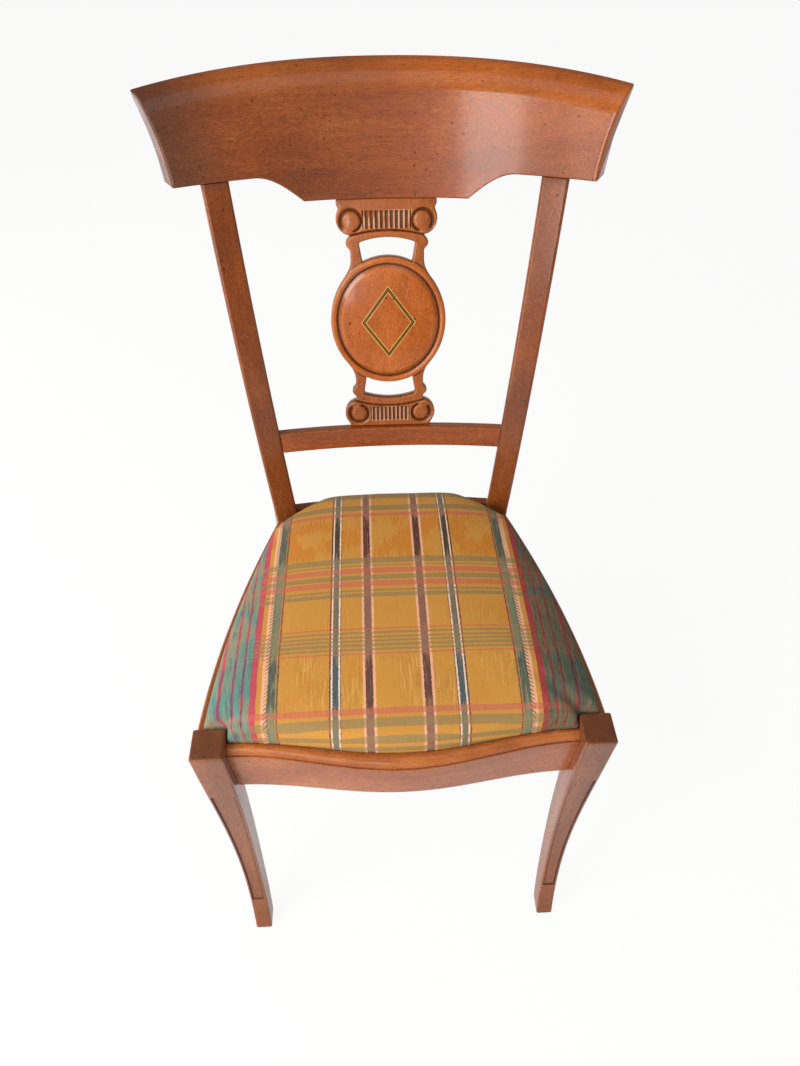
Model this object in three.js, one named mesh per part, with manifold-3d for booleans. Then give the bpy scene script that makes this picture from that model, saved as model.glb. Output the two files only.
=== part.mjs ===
// Dining chair with a carved splat, sabre legs and a loose upholstered seat.
// Millimetres, +Z up, the front of the chair faces -Y, and the floor is Z = 0.
// While a piece is shaped, Y = 0 is the front face of the front leg blocks.

import * as THREE from "three";
import { mergeVertices } from "three/addons/utils/BufferGeometryUtils.js";
import Module from "manifold-3d";

const wasm = await Module();
wasm.setup();

// Fits
const fitGap = 0.3; // glue line or running clearance between two pieces
const cutOverrun = 6; // how far a cutter passes the face that it opens
const rakeDegrees = 15; // lean of the back

// Front legs
const blockOuterWidth = 482;
const blockSide = 37.5;
const blockRise = 15; // the blocks stand this far above the seat rails
const blockBevel = 2;
const footOuterWidth = 454;
const footWidth = 23.5;
const footDepth = 27;
const frontSweep = 71; // how far the foot stands in front of the block
const sweepDrop = 10; // the legs start to curve this far below the tops of the rails
const legRound = 2; // rounding of the long edges
const panelDepth = 2;
const panelBead = 3.2;
const panelTop = 350;
const panelFoot = 58;
const sweepPowerShare = 3.6;
const sweepStraightShare = 0.15;
const legTaperShare = 0.85;
const legInsetPowerShare = 1.45;
const legSteps = 14;

// Rear posts
const seatDepth = 363; // front of the blocks to the front of the posts
const postSeatOuterWidth = 338.5;
const postTopOuterWidth = 414;
const postWidth = 31.5;
const postSeatDepth = 38;
const postTopDepth = 24;
const rearFootWidth = 26;
const rearFootDepth = 28;
const rearSweep = 64;
const rearSweepPowerShare = 2.6;
const leanDrop = 20; // the posts turn into their rake around this far below the tops of the rails
const leanRound = 30;
const postRound = 3.5;
const postFlareShare = 0.24;
const postTurnDegrees = 14; // the posts are turned to follow the hollow of the back
const postSteps = 24;

// Seat rails
const railTop = 440;
const railHeight = 80;
const shelfDrop = 14; // the seat's shelf lies this far below the rail tops
const sideRailThickness = 24;
const sideLipWidth = 9;
const sideBow = 13;
const sideRound = 4;
const sideRoundSteps = 3;
const frontRailSetback = 12.5;
const frontBow = 24.5; // depth of the serpentine wave in the front rail
const frontLipWidth = 11.5;
const frontLipSwell = 4;
const frontLipRise = 3.5;
const ovoloHeight = 12;
const ovoloFillet = 1.8;
const ovoloSteps = 5;
const frontRailDrop = 10; // the front rail's ends hang below the side rails
const frontArch = 17; // rise of its lower edge in the middle
const rearRailThickness = 26;
const rearLipWidth = 12;
const rearRailInset = 6;
const rearRailBow = 9;
const railSteps = 20;

// Crest rail
const backHeight = 432; // tops of the seat rails to the crest rail's lower end corners
const crestHalfWidth = 235.5; // at the lower end corners
const crestEndFlare = 17.5; // how far the ends have flared out at the flare's height
const crestFlareHeight = 84;
const crestFlarePowerShare = 1.6;
const crestSag = 38; // how far the middle lies behind the lower end corners
const crestThickness = 23;
const crestHeight = 102; // in the middle, above its lower end corners
const crestArch = 14.5;
const crestArchPowerShare = 2.5;
const crestTabHalf = 96;
const crestTabDrop = 27;
const crestScoopEnd = 150;
const crestRollHeight = 26;
const crestRollDepth = 18;
const crestRollSteps = 6;
const crestBackRound = 6;
const crestEndBevelDegrees = 29;
const crestSteps = 30;
const crestMergeShare = 0.02; // stations closer than this become one
const postTenonLength = 26;
const postTenonWidth = 18;
const postTenonThickness = 10;

// Cross rail
const crossRise = 130; // tops of the seat rails to its own top
const crossHeight = 28; // measured along the rake
const crossThickness = 17;
const crossInset = 4.5; // its ends lie this far behind the front of the posts
const crossBow = 9;
const crossRound = 1.5;
const crossTenonLength = 14;
const crossTenonHeight = 18;
const crossTenonThickness = 8;

// Splat, in its own plane: widths are from its middle, heights from its foot, drops from its top
const splatThickness = 14;
const splatTopInset = 3;
const splatFootInset = 7;
const splatTenonWidth = 64;
const splatTenonThickness = 7;
const splatTenonLength = 9;
const medallionHalfWidth = 73.5;
const medallionHalfHeight = 79.5;
const medallionLow = 1.2; // its centre lies this far below the splat's middle
const grooveOffset = 7;
const grooveWidth = 5.5;
const grooveDepth = 2.5;
const fieldRise = 1.6;
const upperEyeDrop = 23.4;
const lowerEyeHeight = 19;
const eyeSpacing = 42.3;
const upperLobeRadius = 18.3;
const lowerLobeRadius = 19;
const eyeRadius = 11.4;
const lobeBarShare = 0.8; // how far up the lobes the bar between them reaches
const eyeGrooveWidth = 2.6;
const eyeGrooveDepth = 2.2;
const capitalBandHeight = 9; // the plain band that ends each capital
const upperBandHalfWidth = 58.5;
const lowerBandHalfWidth = 52;
const fluteCount = 10;
const upperFluteSpan = 59;
const lowerFluteSpan = 54;
const fluteLength = 20.5;
const fluteDepth = 1.6;
const fluteWidthShare = 0.5; // of the flutes' pitch
const neckHalfWidth = 45.5;
const neckNub = 4.5;
const neckLapShare = 0.25; // how far the necks run under the medallion, of its half height
const windowLapShare = 0.5; // the same for the windows
const neckTurnShare = 0.7; // where the neck starts to widen towards the medallion
const upperNubDrop = 50.4;
const lowerNubHeight = 52;
const windowHalfWidth = 34.5;
const windowTaper = 3.5;
const upperWindowDrop = 49.9;
const lowerWindowFoot = 46.5;
const windowArch = 6;

// Diamond inlay
const diamondHalfWidth = 34.8;
const diamondHalfHeight = 45.4;
const stringingWidth = 1;
const bandWidth = 2.9;
const inlayThickness = 1.2;

// Dowels, corner blocks and screws
const dowelRadius = 4;
const dowelLength = 32;
const dowelGap = 0.2;
const dowelEndGap = 1;
const frontDowelShares = [0.25, 0.72];
const sideDowelShares = [0.12, 0.55];
const rearDowelShares = [0.28, 0.75];
const cornerBlockLeg = 56;
const cornerBlockHeight = 30;
const cornerBlockDrop = 11; // below the shelf
const screwLength = 30;
const screwRadius = 2;
const screwHeadRadius = 4;
const screwHeadHeight = 2.8;
const screwHeadTopShare = 0.7;
const screwTip = 4; // length of the point
const screwBite = 16; // depth of thread in the rail
const screwInset = 30; // from the corner along each rail
const screwStagger = 12;
const screwHoleGap = 0.3;

// Loose seat
const seatClearance = 1;
const coverThickness = 1.2;
const hemWidth = 28;
const seatFrameThickness = 18;
const seatFrameWidth = 44;
const webbingThickness = 1.5;
const webbingCount = 4;
const webbingCoverShare = 0.8; // how much of the opening the bands cover
const webbingFoldback = 10; // the bands stop this far inside the frame's edge
const seatWallHeight = 36; // height of the upholstered side above the shelf
const seatWallLean = 3; // how far the side leans in on its way up from the lips
const seatCrown = 30;
const crownPowerShare = 2.5;
const crownSquareShare = 0.72;
const crownRings = 7;
const rearCornerStart = 33; // the rear corners start to round this far before the posts
const rearCornerReach = 43; // and end this far inside them, at the rear rail
const rearCornerPull = 15; // how far each end runs on before it turns
const seatEdgeSteps = 6;
const seatRearSteps = 4;
const dustCoverThickness = 0.6;
const dustCoverInset = 3;

const { clamp, degToRad, smoothstep } = THREE.MathUtils;
const rakeAngle = degToRad(rakeDegrees);
const rakeSlope = Math.tan(rakeAngle);
const postTurn = degToRad(postTurnDegrees);
const blockTop = railTop + blockRise;
const sweepTop = railTop - sweepDrop;
const leanStart = railTop - leanDrop;
const crestBottom = railTop + backHeight;
const crestMiddleTop = crestBottom + crestHeight;
const crossTop = railTop + crossRise;
const railBottom = railTop - railHeight;
const shelfTop = railTop - shelfDrop;
const blockInner = blockOuterWidth / 2 - blockSide;

function indexed(points, triangles) {
  const geometry = new THREE.BufferGeometry();
  geometry.setAttribute("position", new THREE.Float32BufferAttribute(points.flat(), 3));
  geometry.setIndex(triangles);
  return geometry;
}

// Turns a closed geometry into a solid, with its faces pointing out.
function solid(geometry) {
  const bare = new THREE.BufferGeometry();
  bare.setAttribute("position", geometry.getAttribute("position"));
  bare.setIndex(geometry.getIndex());
  const merged = mergeVertices(bare);
  const position = merged.getAttribute("position");
  const triVerts = Uint32Array.from(merged.getIndex().array);
  const [a, b, c] = [new THREE.Vector3(), new THREE.Vector3(), new THREE.Vector3()];
  let volume = 0;
  for (let i = 0; i < triVerts.length; i += 3) {
    a.fromBufferAttribute(position, triVerts[i]);
    b.fromBufferAttribute(position, triVerts[i + 1]);
    c.fromBufferAttribute(position, triVerts[i + 2]);
    volume += a.dot(b.cross(c));
  }
  if (volume < 0) triVerts.reverse();
  const vertProperties = Float32Array.from(position.array);
  return new wasm.Manifold(new wasm.Mesh({ numProp: 3, vertProperties, triVerts }));
}

function geometryOf(body) {
  const mesh = body.getMesh();
  const geometry = new THREE.BufferGeometry();
  geometry.setAttribute("position", new THREE.BufferAttribute(mesh.vertProperties, 3));
  geometry.setIndex(new THREE.BufferAttribute(mesh.triVerts, 1));
  const flat = geometry.toNonIndexed();
  flat.computeVertexNormals();
  return flat;
}

function join(...bodies) {
  return bodies.reduce((all, body) => all.add(body));
}

function cut(body, ...cutters) {
  return cutters.reduce((rest, cutter) => rest.subtract(cutter), body);
}

// Triangles that close one ring, wound along the ring or against it.
function capTriangles(ring, offset, forward) {
  const normal = new THREE.Vector3();
  ring.forEach((point, i) => {
    const here = new THREE.Vector3(...point);
    normal.add(here.cross(new THREE.Vector3(...ring[(i + 1) % ring.length])));
  });
  normal.normalize();
  const side = new THREE.Vector3(normal.z, normal.x, normal.y).cross(normal).normalize();
  const up = normal.clone().cross(side);
  const flat = ring.map((point) => {
    const place = new THREE.Vector3(...point);
    return new THREE.Vector2(place.dot(side), place.dot(up));
  });
  return THREE.ShapeUtils.triangulateShape(flat, []).flatMap(([i, j, k]) => {
    const along = THREE.ShapeUtils.area([flat[i], flat[j], flat[k]]) > 0;
    return along === forward ? [offset + i, offset + j, offset + k] : [offset + i, offset + k, offset + j];
  });
}

// A solid skin through rings of equally many points, closed at both ends.
function loft(rings) {
  const count = rings[0].length;
  const last = (rings.length - 1) * count;
  const triangles = [];
  for (let start = 0; start < last; start += count) {
    for (let i = 0; i < count; i++) {
      const a = start + i;
      const b = start + ((i + 1) % count);
      triangles.push(a, b, b + count, a, b + count, a + count);
    }
  }
  triangles.push(...capTriangles(rings[0], 0, false));
  triangles.push(...capTriangles(rings[rings.length - 1], last, true));
  return solid(indexed(rings.flat(), triangles));
}

// Four corners of a rectangle, each rounded by two chords.
function roundedRectangle(x0, x1, y0, y1, radius) {
  const corners = [
    [x1 - radius, y1 - radius],
    [x0 + radius, y1 - radius],
    [x0 + radius, y0 + radius],
    [x1 - radius, y0 + radius],
  ];
  return corners.flatMap(([x, y], quarter) =>
    [0, 1, 2].map((step) => {
      const angle = (quarter + step / 2) * (Math.PI / 2);
      return [x + radius * Math.cos(angle), y + radius * Math.sin(angle)];
    }),
  );
}

function box(x0, x1, y0, y1, z0, z1) {
  const geometry = new THREE.BoxGeometry(x1 - x0, y1 - y0, z1 - z0);
  geometry.translate((x0 + x1) / 2, (y0 + y1) / 2, (z0 + z1) / 2);
  return solid(geometry);
}

function prism(points, z0, z1) {
  const shape = new THREE.Shape(points.map(([x, y]) => new THREE.Vector2(x, y)));
  const geometry = new THREE.ExtrudeGeometry(shape, { depth: z1 - z0, bevelEnabled: false });
  geometry.translate(0, 0, z0);
  return solid(geometry);
}

// A round rod from one point along a direction.
function rod(start, direction, length, radius, sides = 10) {
  const geometry = new THREE.CylinderGeometry(radius, radius, length, sides);
  geometry.translate(0, length / 2, 0);
  geometry.applyQuaternion(new THREE.Quaternion().setFromUnitVectors(new THREE.Vector3(0, 1, 0), direction));
  geometry.translate(start.x, start.y, start.z);
  return solid(geometry);
}

function steps(count) {
  return Array.from({ length: count + 1 }, (_, i) => i / count);
}

function mix(from, to, share) {
  return from + (to - from) * share;
}

// How far down the leg a height is, from 0 at the start of its sweep to 1 at the floor.
function legDrop(z) {
  return Math.max(0, 1 - z / sweepTop);
}

function frontLegFace(z) {
  const drop = legDrop(z);
  return -frontSweep * mix(drop ** sweepPowerShare, drop, sweepStraightShare);
}

function frontLegOuter(z) {
  return mix(blockOuterWidth, footOuterWidth, legDrop(z) ** legInsetPowerShare) / 2;
}

function frontLegWidth(z) {
  return mix(blockSide, footWidth, smoothstep(legDrop(z), 0, legTaperShare));
}

function frontLegDepth(z) {
  return mix(blockSide, footDepth, legDrop(z));
}

function frontLegRing(side, z, inset) {
  const outer = frontLegOuter(z) - inset;
  const inner = frontLegOuter(z) - frontLegWidth(z) + inset;
  const face = frontLegFace(z) + inset;
  const back = frontLegFace(z) + frontLegDepth(z) - inset;
  return roundedRectangle(inner, outer, face, back, legRound).map(([x, y]) => [side * x, y, z]);
}

// Square block and sabre leg in one piece, with a sunken panel down its front.
function frontLeg(side) {
  const heights = steps(legSteps).map((share) => share * sweepTop);
  const rings = heights.map((z) => frontLegRing(side, z, 0));
  rings[0] = frontLegRing(side, 0, legRound);
  rings.splice(1, 0, frontLegRing(side, legRound, 0));
  rings.push(frontLegRing(side, blockTop - blockBevel, 0), frontLegRing(side, blockTop, blockBevel));
  const panelHeights = [panelFoot, ...heights.filter((z) => z > panelFoot && z < panelTop), panelTop];
  const panel = panelHeights.map((z) => {
    const outer = side * (frontLegOuter(z) - panelBead);
    const inner = side * (frontLegOuter(z) - frontLegWidth(z) + panelBead);
    const [front, back] = [frontLegFace(z) - cutOverrun, frontLegFace(z) + panelDepth];
    return [[outer, front, z], [inner, front, z], [inner, back, z], [outer, back, z]];
  });
  return cut(loft(rings), loft(panel));
}

// Share of the way from the seat rails up to the crest rail.
function backRise(z) {
  return Math.max(0, (z - railTop) / (crestBottom - railTop));
}

function postOuter(z) {
  const rise = backRise(z);
  return mix(postSeatOuterWidth, postTopOuterWidth, rise * (1 + postFlareShare * (1 - rise))) / 2;
}

function postInner(z) {
  return postOuter(z) - mix(postWidth, rearFootWidth, legDrop(z));
}

function postFace(z) {
  const above = z - leanStart;
  const lean = (above + Math.hypot(above, leanRound)) / 2;
  return seatDepth + rakeSlope * lean + rearSweep * legDrop(z) ** rearSweepPowerShare;
}

function postBack(z) {
  const upper = mix(postSeatDepth, postTopDepth, backRise(z));
  return postFace(z) + mix(upper, rearFootDepth, legDrop(z));
}

const postHeights = steps(postSteps).map((share) => share * (crestBottom - fitGap));

function postMiddle(z) {
  return (postInner(z) + postOuter(z)) / 2;
}

// A place in a post's turned section: outwards from its middle and back from its front.
function postPlace(side, z, across, back) {
  const x = postMiddle(z) + across * Math.cos(postTurn) + back * Math.sin(postTurn);
  const y = postFace(z) - across * Math.sin(postTurn) + back * Math.cos(postTurn);
  return [side * x, y, z];
}

function postRing(side, z, grow) {
  const half = (postOuter(z) - postInner(z)) / 2 + grow;
  const outline = roundedRectangle(-half, half, -grow, postBack(z) - postFace(z) + grow, postRound);
  return outline.map(([across, back]) => postPlace(side, z, across, back));
}

function postBody(side, grow) {
  const rings = postHeights.map((z) => postRing(side, z, grow));
  rings[0] = postRing(side, 0, grow - legRound);
  rings.splice(1, 0, postRing(side, legRound, grow));
  return loft(rings);
}

// Everything behind the front of a post, to trim the rail that butts against it.
function behindPost(side) {
  const reach = blockSide * 2;
  const outline = [[-reach, -fitGap], [reach, -fitGap], [reach, reach], [-reach, reach]];
  return loft(postHeights.map((z) => outline.map(([across, back]) => postPlace(side, z, across, back))));
}

// Tongue on top of a post, which enters the crest rail.
function postTenon(side, grow) {
  const foot = crestBottom - cutOverrun;
  const tip = crestBottom + postTenonLength + grow;
  const [halfWidth, halfThickness] = [postTenonWidth / 2 + grow, postTenonThickness / 2 + grow];
  return loft([foot, tip].map((z) => {
    const middle = (postBack(z) - postFace(z)) / 2;
    const [front, back] = [middle - halfThickness, middle + halfThickness];
    const outline = [[-halfWidth, front], [halfWidth, front], [halfWidth, back], [-halfWidth, back]];
    return outline.map(([across, depth]) => postPlace(side, z, across, depth));
  }));
}

// One cosine wave from the middle of the front rail, 1, to its ends, 0.
function frontWave(x) {
  return (1 + Math.cos((Math.PI * x) / blockInner)) / 2;
}

function frontRailFace(x) {
  return frontRailSetback - frontBow * frontWave(x);
}

function frontLipBack(x) {
  return frontRailFace(x) + frontLipWidth + frontLipSwell * frontWave(x);
}

// Serpentine rail with an ovolo over a small fillet, and a shelf behind its lip.
function frontRail() {
  const reach = blockInner - fitGap;
  const lipTop = railTop + frontLipRise;
  const ledge = lipTop - ovoloHeight;
  const rings = steps(railSteps).map((share) => {
    const x = mix(-reach, reach, share);
    const [face, lip] = [frontRailFace(x), frontLipBack(x)];
    const foot = railBottom - frontRailDrop + frontArch * frontWave(x);
    const run = lip - ovoloFillet - (face + ovoloFillet);
    const ovolo = steps(ovoloSteps).map((part) => {
      const angle = (part * Math.PI) / 2;
      return [face + ovoloFillet + run * (1 - Math.cos(angle)), ledge + ovoloHeight * Math.sin(angle)];
    });
    const profile = [
      [face, foot], [face, ledge], ...ovolo, [lip, lipTop],
      [lip, shelfTop], [blockSide, shelfTop], [blockSide, foot],
    ];
    return profile.map(([y, z]) => [x, y, z]);
  });
  return loft(rings);
}

// Outer face of the side rails, bowed between the block and the post.
function sideRailFace(y) {
  const share = (y - blockSide) / (seatDepth - blockSide);
  const straight = mix(blockOuterWidth / 2, postSeatOuterWidth / 2, share);
  return straight + sideBow * 4 * share * (1 - share);
}

// Bowed rail with a rounded outer top edge and a shelf inside its lip.
function sideRailBody(side, grow) {
  const rearEnd = seatDepth + sideRailThickness / 2;
  const rings = steps(railSteps).map((share) => {
    const y = mix(blockSide + fitGap, rearEnd, share);
    const face = sideRailFace(y) + grow;
    const [lip, back] = [sideRailFace(y) - sideLipWidth - grow, sideRailFace(y) - sideRailThickness - grow];
    const [top, shelf, foot] = [railTop + grow, shelfTop + grow, railBottom - grow];
    const shoulder = steps(sideRoundSteps).map((part) => {
      const angle = (part * Math.PI) / 2;
      return [face - sideRound * (1 - Math.cos(angle)), top - sideRound * (1 - Math.sin(angle))];
    });
    const profile = [[face, foot], ...shoulder, [lip, top], [lip, shelf], [back, shelf], [back, foot]];
    return profile.map(([x, z]) => [side * x, y, z]);
  });
  return loft(rings);
}

function rearRailBack(x) {
  const end = postBack(railTop) - rearRailInset;
  return end + rearRailBow * (1 - (x / postInner(railTop)) ** 2);
}

// Bowed rail between the posts, with its shelf at the front.
function rearRailBody(grow) {
  const reach = postMiddle(railTop);
  const rings = steps(railSteps).map((share) => {
    const x = mix(-reach, reach, share);
    const back = rearRailBack(x);
    const [lip, front] = [back - rearLipWidth - grow, back - rearRailThickness - grow];
    const [top, shelf, foot] = [railTop + grow, shelfTop + grow, railBottom - grow];
    const profile = [
      [front, foot], [front, shelf], [lip, shelf], [lip, top], [back + grow, top], [back + grow, foot],
    ];
    return profile.map(([y, z]) => [x, y, z]);
  });
  return loft(rings);
}

// Front face of the crest rail: hollow towards the sitter, and raked.
function crestFace(x, z) {
  const hollow = crestSag * ((postMiddle(crestBottom) ** 2 - x ** 2) / crestHalfWidth ** 2);
  return postFace(crestBottom) + hollow + (z - crestBottom) * rakeSlope;
}

// Lower edge: a tab in the middle, then a scoop up to the level ends.
function crestFoot(x) {
  const share = clamp((Math.abs(x) - crestTabHalf) / (crestScoopEnd - crestTabHalf), 0, 1);
  return crestBottom - crestTabDrop * (1 - Math.sin((share * Math.PI) / 2));
}

function crestTop(x) {
  return crestMiddleTop - crestArch * Math.abs(x / crestHalfWidth) ** crestArchPowerShare;
}

// Places along the crest rail where its lower edge turns get a station each.
function crestStations() {
  const turns = [crestTabHalf, crestScoopEnd].map((x) => x / crestHalfWidth);
  const clear = (s) => turns.every((turn) => Math.abs(s - turn) > crestMergeShare);
  const even = steps(crestSteps / 2).filter(clear);
  const half = [...even, ...turns].sort((a, b) => a - b);
  return [...half.slice(1).reverse().map((s) => -s), ...half];
}

// Outline of the crest rail's section as height and depth behind its face.
function crestSection(x) {
  const [foot, top] = [crestFoot(x), crestTop(x)];
  const roll = steps(crestRollSteps).map((part) => {
    const angle = (part * Math.PI) / 2;
    return [
      top - crestRollHeight * (1 - Math.sin(angle)),
      crestRollDepth * (1 - Math.cos(angle)),
    ];
  });
  return [
    [foot, 0], ...roll,
    [top, crestThickness - crestBackRound / 2], [top - crestBackRound, crestThickness],
    [foot, crestThickness],
  ];
}

function crestBody() {
  const endBevel = Math.tan(degToRad(crestEndBevelDegrees));
  return loft(crestStations().map((station) =>
    crestSection(station * crestHalfWidth).map(([z, depth]) => {
      const flare = crestEndFlare * Math.max(0, (z - crestBottom) / crestFlareHeight) ** crestFlarePowerShare;
      const reach = crestHalfWidth + flare + depth * endBevel;
      const x = station * reach;
      return [x, crestFace(x, z) + depth, z];
    }),
  ));
}

// Centre line of the cross rail's upper front edge.
function crossFace(x) {
  const end = postInner(crossTop);
  return postFace(crossTop) + crossInset + crossBow * (1 - (x / end) ** 2);
}

// A point of the cross rail's section: down along the rake and back across it.
function crossPlace(x, down, back) {
  const y = crossFace(x) - down * Math.sin(rakeAngle) + back * Math.cos(rakeAngle);
  const z = crossTop - down * Math.cos(rakeAngle) - back * Math.sin(rakeAngle);
  return [x, y, z];
}

function crossRailBody() {
  const reach = postMiddle(crossTop);
  const section = roundedRectangle(0, crossHeight, 0, crossThickness, crossRound);
  return loft(steps(railSteps).map((share) => {
    const x = mix(-reach, reach, share);
    return section.map(([down, back]) => crossPlace(x, down, back));
  }));
}

function crossTenon(side, grow) {
  const inner = postInner(crossTop) - cutOverrun;
  const tip = postInner(crossTop) + crossTenonLength + grow;
  const [down, back] = [crossHeight / 2, crossThickness / 2];
  const [halfHeight, halfThickness] = [crossTenonHeight / 2 + grow, crossTenonThickness / 2 + grow];
  return loft([inner, tip].map((x) => [
    [down - halfHeight, back - halfThickness],
    [down + halfHeight, back - halfThickness],
    [down + halfHeight, back + halfThickness],
    [down - halfHeight, back + halfThickness],
  ].map(([a, b]) => {
    const [, y, z] = crossPlace(postInner(crossTop), a, b);
    return [side * x, y, z];
  })));
}

// The splat stands between the cross rail's top and the crest rail's tab.
function splatPlace() {
  const [, footY, footZ] = crossPlace(0, 0, splatFootInset);
  const topZ = crestFoot(0);
  const topY = crestFace(0, topZ) + splatTopInset;
  const slope = Math.atan2(topY - footY, topZ - footZ);
  return { footY, footZ, slope, height: Math.hypot(topY - footY, topZ - footZ) };
}

const splat = splatPlace();
const medallionHeight = splat.height / 2 - medallionLow;
const upperEyeHeight = splat.height - upperEyeDrop;
const upperNubHeight = splat.height - upperNubDrop;
const upperWindowTop = splat.height - upperWindowDrop;

// A flat outline of the splat pushed through from one depth to another.
// Depth 0 is the front face, and the splat's thickness lies below it.
function splatSlab(shape, low, high) {
  const geometry = new THREE.ExtrudeGeometry(shape, {
    depth: high - low, bevelEnabled: false, curveSegments: 14,
  });
  geometry.translate(0, 0, low);
  return solid(geometry);
}

function ellipse(x, y, halfWidth, halfHeight) {
  const shape = new THREE.Shape();
  shape.absellipse(x, y, halfWidth, halfHeight, 0, Math.PI * 2, false, 0);
  return shape;
}

function ellipseRing(x, y, outerHalves, innerHalves) {
  const shape = ellipse(x, y, ...outerHalves);
  shape.holes.push(ellipse(x, y, ...innerHalves));
  return shape;
}

// The neck between a capital and the medallion, with a nub on each side.
// Heights run from the capital's end to the medallion's end.
function neckShape(capitalEnd, nub, medallionEnd) {
  const reach = Math.sign(medallionEnd - capitalEnd);
  const half = [
    [neckHalfWidth, capitalEnd],
    [neckHalfWidth + neckNub, nub - reach * neckNub / 2],
    [neckHalfWidth + neckNub, nub + reach * neckNub / 2],
    [neckHalfWidth, nub + reach * neckNub * 2],
    [neckHalfWidth, mix(nub, medallionEnd, neckTurnShare)],
    [neckHalfWidth + neckNub, medallionEnd],
  ];
  const mirrored = half.map(([x, y]) => [-x, y]).reverse();
  return new THREE.Shape([...half, ...mirrored].map(([x, y]) => new THREE.Vector2(x, y)));
}

// A window whose far end is arched and whose near end runs under the medallion.
function windowShape(archEnd) {
  const away = Math.sign(archEnd - medallionHeight);
  const near = archEnd - away * medallionHalfHeight * windowLapShare;
  const shape = new THREE.Shape();
  shape.moveTo(-windowHalfWidth + windowTaper, near);
  shape.lineTo(-windowHalfWidth, archEnd);
  shape.quadraticCurveTo(0, archEnd + away * windowArch * 2, windowHalfWidth, archEnd);
  shape.lineTo(windowHalfWidth - windowTaper, near);
  return shape;
}

// Capital: two round lobes joined by a bar, and a wider band that ends flat on its rail.
function capitalSlab(eyeHeight, lobeRadius, bandHalfWidth, end) {
  const inner = end + Math.sign(eyeHeight - end) * capitalBandHeight;
  const lobes = [-1, 1].map((side) =>
    splatSlab(ellipse(side * eyeSpacing, eyeHeight, lobeRadius, lobeRadius), -splatThickness, 0));
  const far = eyeHeight - Math.sign(end - eyeHeight) * lobeRadius * lobeBarShare;
  const bar = box(-eyeSpacing, eyeSpacing, Math.min(far, end), Math.max(far, end), -splatThickness, 0);
  const band = box(
    -bandHalfWidth, bandHalfWidth, Math.min(inner, end), Math.max(inner, end), -splatThickness, 0,
  );
  return join(...lobes, bar, band);
}

function volutes(eyeHeight) {
  const outer = eyeRadius + eyeGrooveWidth;
  return [-1, 1].map((side) => splatSlab(
    ellipseRing(side * eyeSpacing, eyeHeight, [outer, outer], [eyeRadius, eyeRadius]),
    -eyeGrooveDepth, cutOverrun,
  ));
}

function flutes(span, eyeHeight, splatEnd) {
  const pitch = span / fluteCount;
  const half = (pitch * fluteWidthShare) / 2;
  const away = Math.sign(splatEnd - eyeHeight);
  const start = splatEnd - away * capitalBandHeight;
  const finish = start - away * fluteLength;
  return steps(fluteCount - 1).map((share) => {
    const x = mix(-span / 2 + pitch / 2, span / 2 - pitch / 2, share);
    return box(x - half, x + half, Math.min(start, finish), Math.max(start, finish), -fluteDepth, cutOverrun);
  });
}

// Distance from the diamond's middle to its outer edge.
const diamondReach = (diamondHalfWidth * diamondHalfHeight) / Math.hypot(diamondHalfWidth, diamondHalfHeight);

// Half width and half height of the diamond drawn in by a distance.
function diamondHalves(inset) {
  const share = 1 - inset / diamondReach;
  return [diamondHalfWidth * share, diamondHalfHeight * share];
}

function diamondPoints(inset) {
  const [halfWidth, halfHeight] = diamondHalves(inset);
  return [[halfWidth, 0], [0, halfHeight], [-halfWidth, 0], [0, -halfHeight]]
    .map(([x, y]) => new THREE.Vector2(x, medallionHeight + y));
}

function diamondRing(outerInset, innerInset) {
  const shape = new THREE.Shape(diamondPoints(outerInset));
  shape.holes.push(new THREE.Path(diamondPoints(innerInset)));
  return shape;
}

const bandStart = stringingWidth + fitGap;
const bandEnd = bandStart + bandWidth;
const inlayEnd = bandEnd + fitGap + stringingWidth;

// Carved board: capitals, necks and medallion joined, then its carving cut.
function splatBody() {
  const slab = (shape) => splatSlab(shape, -splatThickness, 0);
  const upperEdge = medallionHeight + medallionHalfHeight;
  const lowerEdge = medallionHeight - medallionHalfHeight;
  const upperNeck = neckShape(upperEyeHeight, upperNubHeight, upperEdge - medallionHalfHeight * neckLapShare);
  const lowerNeck = neckShape(lowerEyeHeight, lowerNubHeight, lowerEdge + medallionHalfHeight * neckLapShare);
  const board = join(
    cut(slab(upperNeck), slab(windowShape(upperWindowTop))),
    cut(slab(lowerNeck), slab(windowShape(lowerWindowFoot))),
    slab(ellipse(0, medallionHeight, medallionHalfWidth, medallionHalfHeight)),
    capitalSlab(upperEyeHeight, upperLobeRadius, upperBandHalfWidth, splat.height - fitGap),
    capitalSlab(lowerEyeHeight, lowerLobeRadius, lowerBandHalfWidth, fitGap),
    ...[[-splatTenonLength, cutOverrun], [splat.height - cutOverrun, splat.height + splatTenonLength]]
      .map(([from, to]) => splatTenon(from, to, 0)),
  );
  const halves = (inset) => [medallionHalfWidth - inset, medallionHalfHeight - inset];
  const fieldInset = grooveOffset + grooveWidth;
  const groove = splatSlab(
    ellipseRing(0, medallionHeight, halves(grooveOffset), halves(fieldInset)), -grooveDepth, cutOverrun,
  );
  const field = splatSlab(ellipse(0, medallionHeight, ...halves(fieldInset)), -grooveDepth, fieldRise);
  const recessFloor = fieldRise - inlayThickness - fitGap;
  const recess = splatSlab(diamondRing(-fitGap, inlayEnd + fitGap), recessFloor, cutOverrun);
  const carving = [
    ...volutes(upperEyeHeight), ...volutes(lowerEyeHeight),
    ...flutes(upperFluteSpan, upperEyeHeight, splat.height), ...flutes(lowerFluteSpan, lowerEyeHeight, 0),
  ];
  return cut(join(cut(board, groove, ...carving), field), recess);
}

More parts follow.
